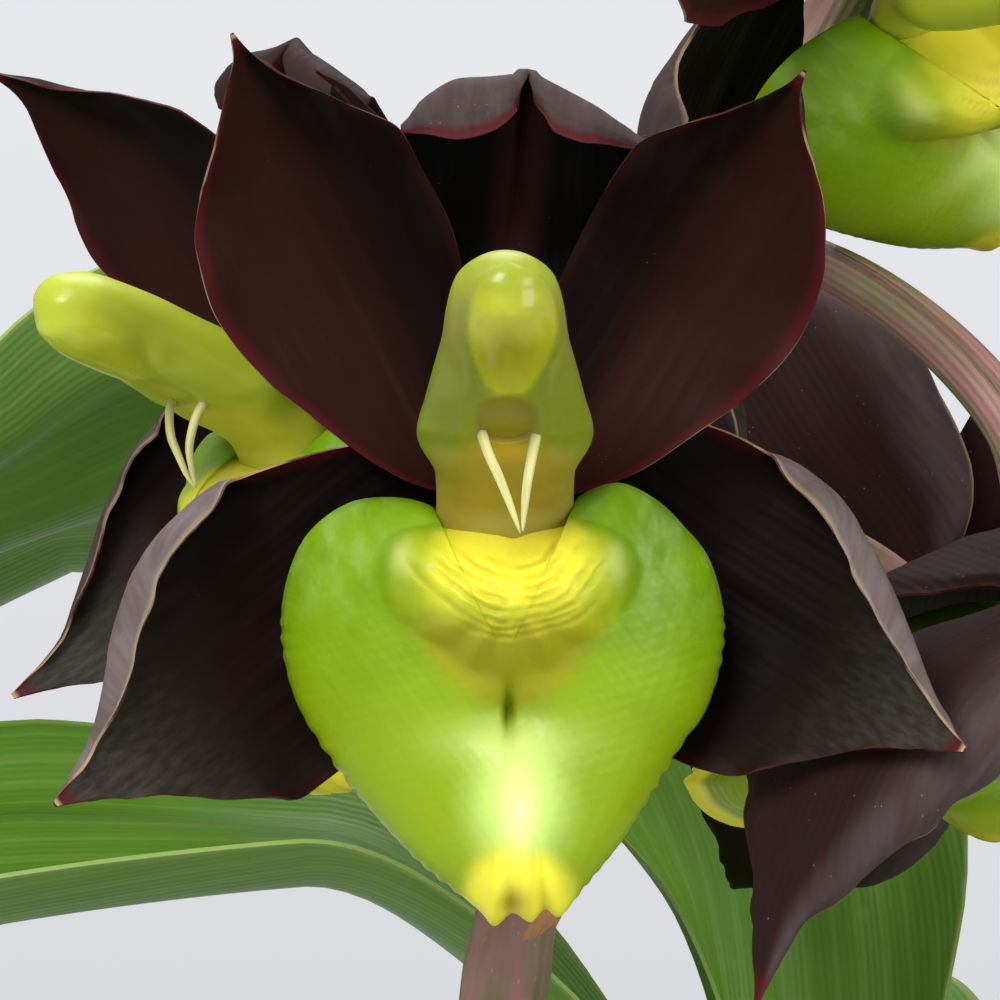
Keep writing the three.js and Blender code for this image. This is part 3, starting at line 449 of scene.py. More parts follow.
SEPAL_LEFT = {
    "spine": [(-1, 4.9, -0.3), (-4.5, 5.4, -1.6), (-10, 5.6, -5.9), (-15.3, 3.4, -10.1), (-20, -1.5, -13.8),
              (-24, -7.5, -16.8)],
    "across": (-0.61, 0, 0.79),
    "widths": [(0, 1.3, 1.3), (0.1, 2.6, 4.5), (0.19, 4.6, 6.5), (0.29, 6.1, 8.1), (0.36, 7.1, 8.7),
               (0.48, 8.1, 8.4), (0.57, 8.1, 7.6), (0.67, 6.1, 5.7), (0.76, 3.8, 3.3), (0.85, 2.2, 1.4),
               (0.93, 0.9, 0.5), (1, 0.12, 0.12)],
    "arch": [(0, 0.02), (0.5, 0.025), (1, 0.01)],
    "curl_right": SEPAL_CURL,
}
SEPAL_RIGHT = {
    "spine": [(1, 4.9, -0.3), (4.8, 5.4, -1.3), (10.5, 5.6, -4.9), (15.8, 3.4, -8.3), (20.5, -1.5, -11.3),
              (24.5, -7.5, -13.9)],
    "across": (-0.53, 0, -0.85),
    "widths": [(0, 1.3, 1.3), (0.1, 5, 2.8), (0.17, 7, 4.6), (0.27, 8.1, 6.6), (0.37, 8.4, 8.1),
               (0.48, 8.1, 9.1), (0.57, 6.9, 8.5), (0.65, 5.6, 6.8), (0.71, 4.4, 4.9), (0.78, 3, 3.2),
               (0.88, 1.2, 1.6), (1, 0.12, 0.12)],
    "arch": [(0, 0.02), (0.5, 0.025), (1, 0.01)],
    "curl_left": SEPAL_CURL,
}
HOOD = {
    "widths": [(0, 1.4), (0.3, 4.8), (0.55, 6.4), (0.8, 7), (1, 6.9)],
    "depth": [(0, 5), (0.3, 7), (0.6, 7), (0.85, 5.2), (1, 3.6)],
    "top_left": [(0, 22.9), (0.06, 22.6), (0.3, 22.4), (0.52, 22.3), (0.78, 21.3), (1, 20.2)],
    "top_right": [(0, 22.9), (0.1, 22.4), (0.26, 21.8), (0.5, 20.9), (0.84, 19.5), (1, 19.3)],
    "drop_left": [(0, 0.5), (0.06, 1.7), (0.3, 2.9), (0.52, 3.2), (0.78, 1.9), (1, 0.4)],
    "drop_right": [(0, 0.5), (0.06, 1.1), (0.14, 1.7), (0.22, 2.4), (0.42, 2.2), (0.74, 0.9), (1, 0.3)],
    "base": 0.3, "tip_shift": 1.2, "roll_radius": 0.8, "roll_angle": 2.9, "roll_from": 0.72, "cup": 0.6,
}

# The flowers, by their middle measured from the first flower's, the way they face, their turn
# about it, the share of the stem's length that each grows from and how far its stalk bends
FLOWERS = [
    {"at": (0, 0, 0), "facing": (0, -1, 0), "turn": 0, "root": 0.688,
     "bow": (2.36, 0.67, 9.85)},
    {"at": (-12.85, 36.17, 4.52), "facing": (-0.7, -0.68, -0.21), "turn": 0, "root": 0.64,
     "bow": (0.31, 9.22, 1.98)},
    {"at": (22.53, 8.84, 30.18), "facing": (0.69, -0.52, -0.5), "turn": -0.84, "root": 0.863,
     "bow": (-5.55, 5.2, -0.49)},
    {"at": (28.61, 59.07, -6.16), "facing": (0.18, 0.94, 0.28), "turn": -1.51, "root": 0.705,
     "bow": (9.38, 10.79, -5.42)},
    {"at": (32.75, 14.66, -10.86), "facing": (0.25, 0.24, -0.94), "turn": -1.01, "root": 0.733,
     "bow": (-5.13, 5.23, 7.98)},
    {"at": (10.89, 11.67, -53.91), "facing": (0.3, -0.93, -0.22), "turn": 0.07, "root": 0.539,
     "bow": (-12.32, 4.62, 9.77)},
    {"at": (47.64, 44.66, 31.55), "facing": (0.87, 0.47, 0.15), "turn": 0.02, "root": 0.891,
     "bow": (-4.99, 6.18, -13.23)},
]


def flower_matrix(flower):
    """Where a flower stands, in metres."""
    back = -Vector(flower["facing"]).normalized()
    up = Vector((0, 0, 1))
    up = (up - up.dot(back) * back).normalized()
    up.rotate(Matrix.Rotation(flower["turn"], 3, back))
    right = back.cross(up)
    matrix = Matrix((right, back, up)).transposed().to_4x4()
    matrix.translation = (Vector(HERO) + Vector(flower["at"])) * MM
    return matrix


def hood(s, u):
    """Places on the hooded sepal, whose top edge is rolled forward on both sides of its tip."""
    side = np.abs(u)
    drop, top = (np.where(u < 0, eased(HOOD[key + "_left"], side), eased(HOOD[key + "_right"], side))
                 for key in ("drop", "top"))
    folded = np.minimum(side / 0.05, 1)
    radius = np.clip(0.45 * drop, 0.12, HOOD["roll_radius"])
    bend = np.maximum(HOOD["roll_angle"] * folded, 0.05)
    climb = np.minimum(s / HOOD["roll_from"], 1)
    arc = radius * bend
    walked = np.maximum(s - HOOD["roll_from"], 0) / (1 - HOOD["roll_from"]) * (arc + (drop - radius) * folded)
    angle = np.minimum(walked / radius, bend)
    rest = np.maximum(walked - arc, 0)
    x = HOOD["tip_shift"] * climb * climb + u * eased(HOOD["widths"], climb)
    y = eased(HOOD["depth"], climb) - HOOD["cup"] * u * u * climb
    z = HOOD["base"] + (top - radius * folded - HOOD["base"]) * climb
    y = y - radius * (1 - np.cos(angle)) - rest * np.sin(bend)
    z = z + radius * np.sin(angle) + rest * np.cos(bend)
    return np.stack([x, y, z], axis=-1)


def petal_relief(s, u, across, along):
    """A petal's faint veins, its sunken midrib and its wavy margin."""
    veins = 0.02 * np.cos(5.2 * across + 0.4 * np.sin(0.5 * along))
    midrib = -0.2 * np.exp(-(across / 0.9) ** 2) * (1 - s)
    margin = 0.25 * np.abs(u) ** 4 * np.sin(0.9 * along + 2 * np.sign(u))
    margin = margin * step(0.1, 0.4, s) * step(1, 0.85, s)
    return veins * step(0, 0.2, s) * step(1, 0.8, s) + midrib + margin


def sepal_relief(s, u, across, along):
    """A sepal's faint veins, midrib and wavy lower margin."""
    veins = 0.02 * np.cos(4.4 * across + 0.5 * np.sin(0.4 * along))
    midrib = -0.25 * np.exp(-(across / 0.9) ** 2) * (1 - s)
    wave = 0.35 * np.abs(u) ** 6 * np.sin(1.25 * along + 0.6 * np.sin(0.9 * along)) * step(0.2, 0.45, s)
    return veins * step(0, 0.2, s) * step(1, 0.85, s) + midrib + wave * step(1, 0.8, s)


def model_tepals(rows, columns, thickness, materials):
    """Both petals, both side sepals, the hood and the hub, in the flower's own frame."""
    pieces = []
    forms = ((PETAL_LEFT, 0, petal_relief, -1), (PETAL_RIGHT, 0, petal_relief, 1),
             (SEPAL_LEFT, 1, sepal_relief, 1), (SEPAL_RIGHT, 1, sepal_relief, -1), (None, 2, None, 0))
    for form, kind, relief, outer in forms:
        sheet, s, u = add_grid(rows, columns)
        if form:
            places, across, along = blade({**form, "relief": relief}, s, u)
        else:
            places = hood(s, u)
            across = places[:, 0]
            along = HOOD_RUN * s
        set_places(sheet, places)
        set_uv(sheet, across + UV_APART * len(pieces), along)
        set_masks(sheet, share=s, side=np.abs(u), outward=outer * u, sepal=float(kind == 1),
                  hood=float(kind == 2))
        give(sheet, *materials)
        thicken(sheet, thickness, 0.25 + 0.75 * step(1, 0.75, np.abs(u)) * step(1, 0.9, s))
        pieces.append(sheet)
    hub, s, turn = add_ball(16, 24)
    set_places(hub, vertex_places(hub)[:, [0, 2, 1]] * [1, -1, 1] * HUB_RADIUS + HUB)
    set_uv(hub, turn * 3, s * 8)
    give(hub, materials[1])
    flower = joined([*pieces, hub])
    smooth(flower, 60)
    return flower


# The lip is a heart-shaped cushion; its outline goes round from the notch, down the right side
LIP_OUTLINE = [
    (0, -2), (3.5, -1.7), (4, -0.4), (6.2, 0.4), (8.3, -0.5), (9.9, -2), (11.3, -3.8), (12.1, -6.6),
    (12, -9.4), (11.1, -12.2), (9.8, -14), (7.9, -17), (6.4, -19.3), (4.3, -21.8), (3, -23.3), (2.2, -22.9),
    (1.4, -23.6), (0.4, -23.1), (-0.6, -23.8), (-1.6, -22.8), (-4.7, -20.4), (-7.4, -17.6), (-9.8, -14.6),
    (-11.6, -11.6), (-12.4, -8.1), (-12.1, -5), (-10.9, -2.4), (-8.6, -0.7), (-6, -0.4), (-4, -0.9),
    (-3.5, -1.8),
]
LIP_MIDDLE = np.array([0, -9.0])
# The sizes of the rings on the lip's back, and how softly the crest runs into the lip
LIP_BACK = (0.985, 0.93, 0.8, 0.6, 0.35)
BLEND = 0.3


def lip_outline(t):
    """The lip's smooth outline at shares t of its length, and the small teeth of its margin."""
    points = np.array(LIP_OUTLINE, float)
    dense = []
    for i in range(len(points)):
        before, first, second, after = (points[(i + k) % len(points)] for k in (-1, 0, 1, 2))
        for share in np.arange(0, 1, 0.02):
            cubic = 2 * first + (second - before) * share
            cubic = cubic + (2 * before - 5 * first + 4 * second - after) * share ** 2
            cubic = cubic + (3 * first - before - 3 * second + after) * share ** 3
            dense.append(cubic / 2)
    dense.append(dense[0])
    dense = np.array(dense)
    reach = np.concatenate([[0], np.cumsum(np.linalg.norm(np.diff(dense, axis=0), axis=1))])
    places = np.stack([np.interp(t, reach / reach[-1], dense[:, k]) for k in (0, 1)], axis=-1)
    away = unit(places - LIP_MIDDLE)
    teeth = np.sin(2 * math.pi * 74 * t + 4 * np.sin(31 * t)) * (0.55 + 0.45 * np.sin(57 * t + 1))
    teeth = 0.07 * teeth * step(-5, -9, places[..., 1]) * step(-23.2, -21.5, places[..., 1])
    return places, away * teeth[..., None]


# The crest is a cushion on the lip's upper half; its outline goes round from the notch, down the right side
CREST_OUTLINE = [
    (0.5, -2.3), (1.65, -1.9), (2.6, -1.6), (4.4, -1.65), (5.8, -2.2), (6.9, -3), (7.3, -4.1), (7.2, -5.5),
    (6.4, -6.9), (5.5, -8), (4.4, -9.1), (3.3, -10.4), (1.9, -11.4), (0.4, -12), (-1.1, -11.5),
    (-2.5, -10.7), (-3.6, -9.6), (-4.7, -8.5), (-5.8, -7.7), (-6.6, -6.6), (-7, -5.5), (-7.1, -4.1),
    (-6.6, -3), (-5.8, -2.3), (-4.1, -1.9), (-2.3, -1.75), (-0.8, -2),
]
CREST_MIDDLE = np.array([0.2, -6.2])
CREST_BACK = [(-12, 2.2), (-8, 2.8), (-2, 3.4)]
CREST_RISE = [(-12.4, 2.4), (-11, 4), (-9, 5.3), (-6.8, 6), (-4, 5.6), (-1.5, 4.4)]
WRINKLES = [
    (3.3, 0.75, 0.2), (3.9, 0.95, -0.1), (4.5, 1.05, 0.1), (5, 0.9, -0.25), (5.5, 1.15, 0.15),
    (6, 0.85, 0.35), (6.4, 0.95, -0.3), (6.8, 0.7, 0.1),
]


def crest_wrinkles(x, z):
    """How deep the crest's wrinkles are at a place, from 0 to 1."""
    sway = 0.3 * ripple(0.45 * x, 0.45 * z) + 0.08 * ripple(2.2 * x, 2.2 * z, 1.7)
    reach = np.hypot(x - 0.4, 0.92 * (z + 0.4)) + sway
    turn = np.arctan2(x - 0.4, -(z + 0.4))
    depth = 0 * x
    for ring, wide, middle in WRINKLES:
        here = step(wide, wide - 0.35, np.abs(turn - middle))
        broken = 0.35 + 0.65 * step(-0.5, 0.3, ripple(0.9 * x, 0.9 * z, ring))
        depth = np.maximum(depth, np.exp(-np.abs((reach - ring) / 0.17) ** 1.6) * here * broken)
    return depth


def crest_share(x, z):
    """How far from the crest's middle a place is, as a share of the way to its outline."""
    outline = np.array(CREST_OUTLINE) - CREST_MIDDLE
    angles = np.arctan2(outline[:, 1], outline[:, 0])
    order = np.argsort(angles)
    reach = np.hypot(*outline.T)
    rows = [(angles[i] + k * 2 * math.pi, reach[i]) for k in (-1, 0, 1) for i in order]
    x = x - CREST_MIDDLE[0]
    z = z - CREST_MIDDLE[1]
    return np.hypot(x, z) / eased(rows, np.arctan2(z, x))


def crest_front(x, z, wrinkled):
    """How far forward the crest lies; beyond its outline it falls below the lip."""
    share = crest_share(x, z)
    dome = 1 - share ** 2
    rise = eased(CREST_RISE, z) * np.sign(dome) * np.abs(dome) ** 0.7
    bumps = 0.45 * (hill(x, z, -5.3, -3.7, 1.3, 1.2) + hill(x, z, 5.5, -3.7, 1.3, 1.2))
    humps = 0.35 * (hill(x, z, -2.1, -2.6, 1.3, 1) + hill(x, z, 2.5, -2.5, 1.3, 1))
    notch = 0.55 * hill(x, z, 0.45, -2.2, 0.55, 1.3)
    turn = np.arctan2(x - 0.3, -(z + 5))
    folds = 0.2 * np.cos(13 * turn) * step(-6.6, -8, z) * step(-12, -10, z)
    relief = bumps + humps + folds - notch - 0.24 * wrinkled * crest_wrinkles(x, z)
    return eased(CREST_BACK, z) + rise + relief * step(1.05, 0.9, share)


def lip_margin(x, z):
    """Where the lip's margin lies, as y."""
    return -0.6 + 2.4 * (x / 12) ** 2 - 1.4 * np.clip((-13 - z) / 10, 0, 1) ** 2


def lip_front(x, z, share, wrinkled):
    """Where the lip's front lies, as y."""
    margin = lip_margin(x, z)
    hollow = 1.3 * hill(x, z, 0.2, -12.2, 2, 1.4)
    slit = 0.9 * hill(x, z, 0.2, -12, 0.3, 1.5)
    keel = hill(x, z, 0.7, -17.6, 2.3, 4.2, 2.2)
    end = hill(x, z, 1, -22, 3, 2)
    streaks = np.sin(24 * np.arctan2(x, z + 13) + 2 * ripple(0.6 * x, 0.6 * z))
    streaks = streaks * step(6.4, 8.4, np.hypot(x, z + 5))
    streaks = 0.09 * streaks * step(-7, -4, z)
    dimples = 0.03 * ripple(3.2 * x, 3.2 * z, 1.3) * step(4, 8, np.hypot(x, z + 3))
    groove = 0.45 * hill(x, z, 0.4, -22.6, 0.5, 0.9) - 0.2 * hill(x, z, -0.6, -22.9, 0.4, 0.9)
    relief = keel + end + streaks + dimples - hollow - groove
    body = 4.8 * np.sqrt(1 - share ** 3) + relief * (1 - share ** 6)
    crest = (margin + crest_front(x, z, wrinkled)) * np.sqrt(1 - share ** 10)
    blended = np.maximum(body, crest) + BLEND * np.log1p(np.exp(-np.abs(body - crest) / BLEND))
    return margin - blended * np.minimum((1 - share) / 0.02, 1) ** 0.5 + slit * (1 - share ** 6)


def lip_masks(piece, places):
    """Keeps what the lip's material reads: the colours' places, and where its highlights and shade are
    painted.
    """
    x, y, z = places.T
    front = step(1.5, -1.5, y)
    inside = step(1.12, 0.86, crest_share(x, z)) * front
    shine = 0.35 * (hill(x, z, -5.6, -3.6, 0.6, 1.1) + hill(x, z, 6, -3.9, 0.6, 1.1)) * inside
    wide = 1 + 0.42 * np.maximum(-18 - z, 0)
    set_uv(piece, x, z)
    set_masks(
        piece,
        yellow=np.maximum(hill(x, z, 0.3, -3.7, 5, 2.9, 2.4),
                          0.5 * hill(x, z, 0.2, -4.4, 7, 4.4, 4)) * inside,
        # Painted shade on the crest's lower half, which turns downward
        olive=step(-5.6, -8, z) * step(6.2, 3.4, np.abs(x - 0.2)) * inside,
        # Painted shade in the creases of the crest's wrinkles
        gold=crest_wrinkles(x, z) * inside,
        warm=hill(x, z, 0.3, -3.3, 2.6, 1.7) * inside,
        apex=step(-17.4, -21.4, z) * step(wide + 2, wide - 1.1, np.abs(x - 0.7)) * front,
        # Painted highlight: the halo round the keel, the keel's pale line and the crest's shoulders
        halo=hill(x, z, 0.7, -17, 3, 3.8) * front,
        keel=np.maximum(hill(x, z, 0.8, -17.5, 0.7, 1.8) * front, shine),
        below=hill(x, z, 0.3, -13.6, 3.6, 1.3) * front,
        # Painted shade in the slit below the crest
        slit=hill(x, z, 0.2, -11.9, 0.35, 1.2),
        lobe=step(6.4, 8.6, np.hypot(x, z + 5)) * step(-8, -4, z),
        fall=step(-3, -17, z),
        # Painted shade: brownish, in the notch between the teeth at the lip's tip
        stain=hill(x, z, 0.4, -22.3, 0.8, 0.7),
    )


def model_lip(count, wrinkled, material):
    """The lip, in the flower's own frame: its front as a grid, its back as rings from the margin."""
    piece, s, u = add_grid(count, count)
    v = 2 * s - 1
    reach = np.maximum(np.abs(u), np.abs(v))
    share = 1 - (1 - reach) ** 1.3
    p, q = (value / np.where(reach > 0, reach, 1) for value in (u, v))
    right, below, above = p >= 1 - 1e-9, q <= -1 + 1e-9, q >= 1 - 1e-9
    round_way = np.where(above, p, np.where(right, 2 - q, np.where(below, 4 - p, 6 + q)))
    edge, teeth = lip_outline((round_way / 8) % 1)
    flat = LIP_MIDDLE + share[:, None] * (edge - LIP_MIDDLE)
    front = lip_front(*flat.T, share, wrinkled)
    x, z = (flat + teeth * (share ** 24)[:, None]).T
    set_places(piece, np.stack([x, front, z], axis=-1))
    mesh = bmesh.new()
    mesh.from_mesh(piece.data)
    ring = [edge for edge in mesh.edges if edge.is_boundary]
    middle = LIP_MIDDLE * MM
    last = 1.0
    for inner in LIP_BACK:
        grown = bmesh.ops.extrude_edge_only(mesh, edges=ring)["geom"]
        ring = [item for item in grown if isinstance(item, bmesh.types.BMEdge) and item.is_boundary]
        for vertex in {corner for item in ring for corner in item.verts}:
            vertex.co.x = middle[0] + (vertex.co.x - middle[0]) * inner / last
            vertex.co.z = middle[1] + (vertex.co.z - middle[1]) * inner / last
            depth = 1.2 * math.sqrt(1 - inner ** 2)
            vertex.co.y = (lip_margin(vertex.co.x / MM, vertex.co.z / MM) + depth) * MM
        last = inner
    bmesh.ops.contextual_create(mesh, geom=ring)
    bmesh.ops.recalc_face_normals(mesh, faces=mesh.faces)
    mesh.to_mesh(piece.data)
    mesh.free()
    lip_masks(piece, vertex_places(piece) / MM)
    give(piece, material)
    smooth(piece)
    return piece


# The column leans forward over the lip. Rows: share of its length, y and z of its middle, lean,
# half width, depth in front and depth behind
COLUMN = [
    (0, -1, -2.9, 0.35, 3.9, 2.4, 2), (0.07, -2, -0.4, 0.5, 3.75, 2.4, 2.2),
    (0.13, -3.1, 1, 0.6, 3.8, 2.6, 2.4), (0.24, -5.6, 3.1, 0.8, 4.75, 2.7, 2.7),
    (0.35, -7.7, 4.7, 0.88, 4.3, 2.6, 2.8), (0.47, -9.9, 6.2, 0.9, 3.85, 2.5, 2.7),
    (0.6, -12.2, 7.8, 0.92, 3.35, 2.6, 2.6), (0.73, -14.4, 9.2, 0.92, 3.1, 2.6, 2.4),
    (0.87, -16.3, 10.5, 0.9, 2.7, 2.2, 2), (0.96, -17.7, 11.3, 0.9, 1.75, 1.4, 1.3),
    (1, -18.3, 11.7, 0.9, 0.65, 0.5, 0.5),
]
ANTENNAE = [
    [(-1.45, -8.3, 3.7), (-0.95, -9.6, 2.1), (-0.25, -10.2, 0.5), (0.45, -10.2, -1.3), (0.8, -9.9, -2.3)],
    [(1.75, -8.4, 3.4), (1.4, -9.7, 1.7), (1.12, -10.2, 0), (0.92, -10, -2.2)],
]


def column_front(x, z):
    """How far the column's front stands out, and where its cap, its recess and its wings show."""
    narrow = step(8.4, 5.2, z)
    wide = (x - 0.42 + 0.22 * narrow) / (2.4 - 0.72 * narrow)
    high = (z - 8.3) / np.where(z > 8.3, 3.1, 3.5)
    power = np.where(z > 8.3, 2.3, 3)
    ring = (np.abs(wide) ** power + np.abs(high) ** power) ** (1 / power)
    closed = step(10.4, 8.6, z)
    bulge = 1.1 * np.sqrt(np.clip(1 - ring ** 2.4, 0, 1)) * (0.35 + 0.65 * closed)
    bulge = bulge + 0.25 * hill(x, z, 0.2, 4.95, 1.2, 0.25)
    groove = 0.22 * np.exp(-((ring - 1.1) / 0.13) ** 2) * closed
    rim = 0.14 * np.exp(-((ring - 1.4) / 0.2) ** 2) * closed
    recess = step(1.25, 0.6, ((x - 0.05) / 1.7) ** 2 + np.abs((z - 3.7) / 1.15) ** 3)
    hollow = hill(x, z, 0.1, 0.6, 2.3, 2.2, 2.6)
    wings = step(1.9, 2.7, z - 0.12 * np.abs(x)) * step(1.7, 2.6, np.abs(x - 0.1)) * step(6.5, 4.5, z)
    relief = bulge - groove + rim - 0.6 * recess - 0.9 * hollow + 0.45 * wings
    return relief, step(1.06, 0.9, ring), recess, wings


def model_column(rings, segments, materials):
    """The column with its anther cap and both antennae, in the flower's own frame."""
    body, s, turn = add_ball(rings, segments)
    y, z, lean, wide, before, behind = (eased(COLUMN, s, k) for k in range(1, 7))
    pole = (s < POLE) | (s > 1 - POLE)
    out = np.cos(turn)
    forward = np.where(pole, 0, np.where(out > 0, before, behind) * out)
    x = np.where(pole, 0, -wide * np.sin(turn))
    y = y - forward * np.cos(lean)
    z = z - forward * np.sin(lean)
    relief, cap, recess, wings = column_front(x, z)
    seen = np.maximum(step(-0.35, 0.25, out), step(0.72, 0.87, s))
    set_places(body, np.stack([x, y - relief * seen, z], axis=-1))
    set_uv(body, x, z)
    set_masks(body, cap=cap * seen, recess=recess * seen, band=hill(x, z, 0.1, 2.1, 1.7, 0.55),
              wings=np.maximum(wings, step(1.5, 3, z) * step(9, 5.5, z)),
              root=step(2.6, 1.6, z + 0.12 * np.abs(x)), crown=step(8.4, 11, z),
              shade=hill(x, z, 0.25, 6.9, 1.7, 1.5, 2.2) * cap * seen)
    give(body, materials[0])
    pieces = [body]
    for points in ANTENNAE:
        horn = add_tube(points, lambda s: 0.3 - 0.05 * s - 0.2 * s ** 5, 20, 12)[0]
        give(horn, materials[1])
        pieces.append(horn)
    column = joined(pieces)
    smooth(column)
    return column


# The flower stem, from the moss to the last bud
STEM = [
    (8, -22, 84), (-3, -29, 135), (-12, -35, 185), (-13.6, -36.6, 216), (-11.4, -37, 235.8),
    (-3.5, -37, 262), (4, -37, 283), (15, -37, 301), (31, -37, 313), (46, -37, 320),
]
STEM_RADIUS = [(0, 3.2), (0.5, 2.6), (0.7, 2.3), (1, 1.2)]
JOINT_SCALES = [(0.13, 1, 12, 3.4), (0.27, -1, 12, 3.4), (0.4, 1, 12, 3.4), (0.578, 1, 7, 2.2)]
BUDS = [{"at": (30, -46, 326), "root": 0.92, "length": 15, "radius": 5},
        {"at": (48, -30, 327), "root": 0.965, "length": 12, "radius": 4},
        {"at": (56, -39, 325), "root": 1, "length": 9, "radius": 3}]
BUD_SHAPE = [(0, 0.3), (0.2, 0.75), (0.5, 1), (0.8, 0.7), (1, 0.15)]


def add_scale(foot, way, height, half, material):
    """A small pointed scale on the stem."""
    out = unit(np.array([way[0], way[1], 0.0]))
    foot = np.array(foot, float) - 0.4 * out
    rise = np.array([0, 0, 1.0])
    form = {
        "spine": [foot, foot + 2.6 * out + 0.45 * height * rise, foot + 4.6 * out + height * rise],
        "across": (out[1], -out[0], 0),
        "widths": [(0, half, half), (0.5, 0.8 * half, 0.8 * half), (0.8, 0.42 * half, 0.42 * half),
                   (1, 0.2, 0.2)],
        "arch": [(0, 0.2), (1, 0.1)],
    }
    sheet, s, u = add_grid(20, 12)
    places, across, along = blade(form, s, u)
    set_places(sheet, places)
    set_uv(sheet, across, along)
    set_masks(sheet, share=s)
    give(sheet, material, material, material)
    thicken(sheet, 0.6 * MM, 0.5 + 0.5 * step(1, 0.7, np.abs(u)))
    return sheet


def bud_root(bud):
    """Where a bud's stalk starts in the stem, and the way it runs."""
    start = Route(STEM).at(np.array([bud["root"] - 0.004]))[0]
    return start, unit(np.array(bud["at"], float) - start)


# Bulbs, by their place, foot, length, greatest radius and lean
BULB_SHAPE = [(0, 0.5), (0.06, 0.72), (0.18, 0.93), (0.34, 1), (0.52, 0.93), (0.7, 0.72), (0.85, 0.46),
              (0.95, 0.28), (1, 0.12)]
BULB_NODES = 7
BULBS = [
    {"x": 14, "y": 4, "foot": 78, "length": 125, "radius": 15, "lean": (0, 0)},
    {"x": -17, "y": 8, "foot": 78, "length": 108, "radius": 13.5, "lean": (-0.04, -0.06)},
    {"x": 2, "y": 34, "foot": 78, "length": 96, "radius": 12, "lean": (-0.07, 0.01)},
    {"x": -24, "y": 32, "foot": 79, "length": 62, "radius": 9, "lean": (-0.08, -0.08)},
]


def bulb_radius(bulb, s):
    """A bulb's radius, narrower at its joints."""
    return bulb["radius"] * (eased(BULB_SHAPE, s) - 0.025 * np.cos(2 * math.pi * BULB_NODES * s) ** 8)


def stand_bulb(bulb, places):
    """Leans a bulb's places and puts them where it stands."""
    x, y, z = places.T
    tilt = bulb["lean"][0]
    y, z = y * math.cos(tilt) - z * math.sin(tilt), y * math.sin(tilt) + z * math.cos(tilt)
    tilt = bulb["lean"][1]
    x, z = x * math.cos(tilt) + z * math.sin(tilt), -x * math.sin(tilt) + z * math.cos(tilt)
    return np.stack([x + bulb["x"], y + bulb["y"], z + bulb["foot"]], axis=-1)


# Leaves: the way each leaves the leading bulb in degrees, the share of the bulb's length where it
# starts, its widest half width, its turn and its run beyond its clasping base
LEAVES = [
    {"way": 180, "from": 0.8, "half": 22, "turn": [(0, 0), (0.3, 0.02), (0.5, 0.26), (1, 0.3)],
     "run": [(-1, 6, 203), (-5, 9, 218), (-14, 12, 230), (-26, 13, 236), (-46, 13, 235.5), (-80, 8, 217),
             (-108, 3, 184), (-122, 0, 150)]},
    {"way": 110, "from": 0.92, "half": 21, "turn": [(0, 0), (0.35, 0.05), (0.5, 0.4), (1, 0.3)],
     "run": [(10, 17, 212), (9, 24, 231), (3, 29, 249), (-10, 30, 262), (-27, 28, 266), (-46, 26, 261),
             (-80, 27, 244), (-110, 30, 216), (-130, 32, 182)]},
    {"way": 40, "from": 0.86, "half": 22, "turn": [(0, 0), (0.4, 0.5), (1, 0.3)],
     "run": [(27, 13, 205), (38, 22, 228), (53, 35, 246), (70, 54, 250), (88, 80, 234), (98, 102, 204)]},
    {"way": -4, "from": 0.72, "half": 24, "turn": [(0, 0), (1, -0.2)],
     "run": [(34, 2, 192), (54, 1, 212), (84, 0, 219), (116, -1, 202), (140, -2, 168), (150, -2, 138)]},
    {"way": 98, "from": 0.62, "half": 23, "turn": [(0, 0), (1, 0.2)],
     "run": [(11, 25, 180), (8, 46, 204), (4, 76, 214), (-1, 108, 198), (-5, 130, 168)]},
    {"way": 184, "from": 0.58, "half": 23, "turn": [(0, 0), (1, 0.15)],
     "run": [(-8, 0, 174), (-28, -2, 191), (-58, -5, 193), (-88, -9, 172), (-108, -12, 138),
             (-113, -13, 114)]},
    {"way": -40, "from": 0.46, "half": 20, "turn": [(0, 0), (1, -0.1)],
     "run": [(34, -12, 158), (54, -28, 176), (80, -48, 176), (104, -66, 154), (116, -76, 130)]},
]
LEAF_WIDTHS = [(0.1, 0.45), (0.25, 0.78), (0.45, 1), (0.65, 0.9), (0.85, 0.45), (1, 0.03)]
LEAF_PLEAT = [(0, 0), (0.2, 0.5), (0.5, 1.1), (0.85, 0.5), (1, 0)]


def leaf_form(leaf):
    """A leaf's spine, widths and bends."""
    bulb = BULBS[0]
    way = math.radians(leaf["way"])
    out = np.array([math.cos(way), math.sin(way), 0])

    def clasp(rise):
        s = leaf["from"] + rise / bulb["length"]
        reach = max(bulb_radius(bulb, np.array(s)), bulb_radius(bulb, np.array(s - 0.05))) + 1.8
        return np.array([bulb["x"], bulb["y"], bulb["foot"] + s * bulb["length"]]) + reach * out

    wrap = 1 / (float(bulb_radius(bulb, np.array(leaf["from"]))) + 0.8)
    widths = [(0, 7.5, 7.5)] + [(s, share * leaf["half"], share * leaf["half"]) for s, share in LEAF_WIDTHS]
    return {
        "spine": [clasp(0), clasp(9), *leaf["run"]], "across": (out[1], -out[0], 0), "widths": widths,
        "arch": [(0, wrap), (0.06, wrap), (0.25, 0.02), (1, 0.01)], "turn": leaf["turn"], "pleat": LEAF_PLEAT,
    }


POT = {"height": 100, "base": 41, "neck": 53, "rim": 61, "rim_height": 20, "wall": 5, "floor": 7,
       "hole": 5, "hole_circle": 22, "holes": 5}
# The height of the moss at the pot's wall, the tries at placing sprigs, and the place they leave to the stem
MOSS_EDGE = 83.0
SPRIG_TRIES = 20000
STEM_FOOT = (8, -22.5)
STEM_CLEAR = 4.2


def pot_inside(z):
    """The pot's inner radius at a height."""
    foot = POT["height"] - POT["rim_height"]
    low = POT["base"] - POT["wall"]
    neck = POT["neck"] - POT["wall"] + 1
    rim = POT["rim"] - POT["wall"] - 1
    up = np.where(z > foot, (rim - neck) * (z - foot) / (POT["height"] - 1 - foot), 0)
    return eased([(POT["floor"], low), (foot, neck)], z) + up


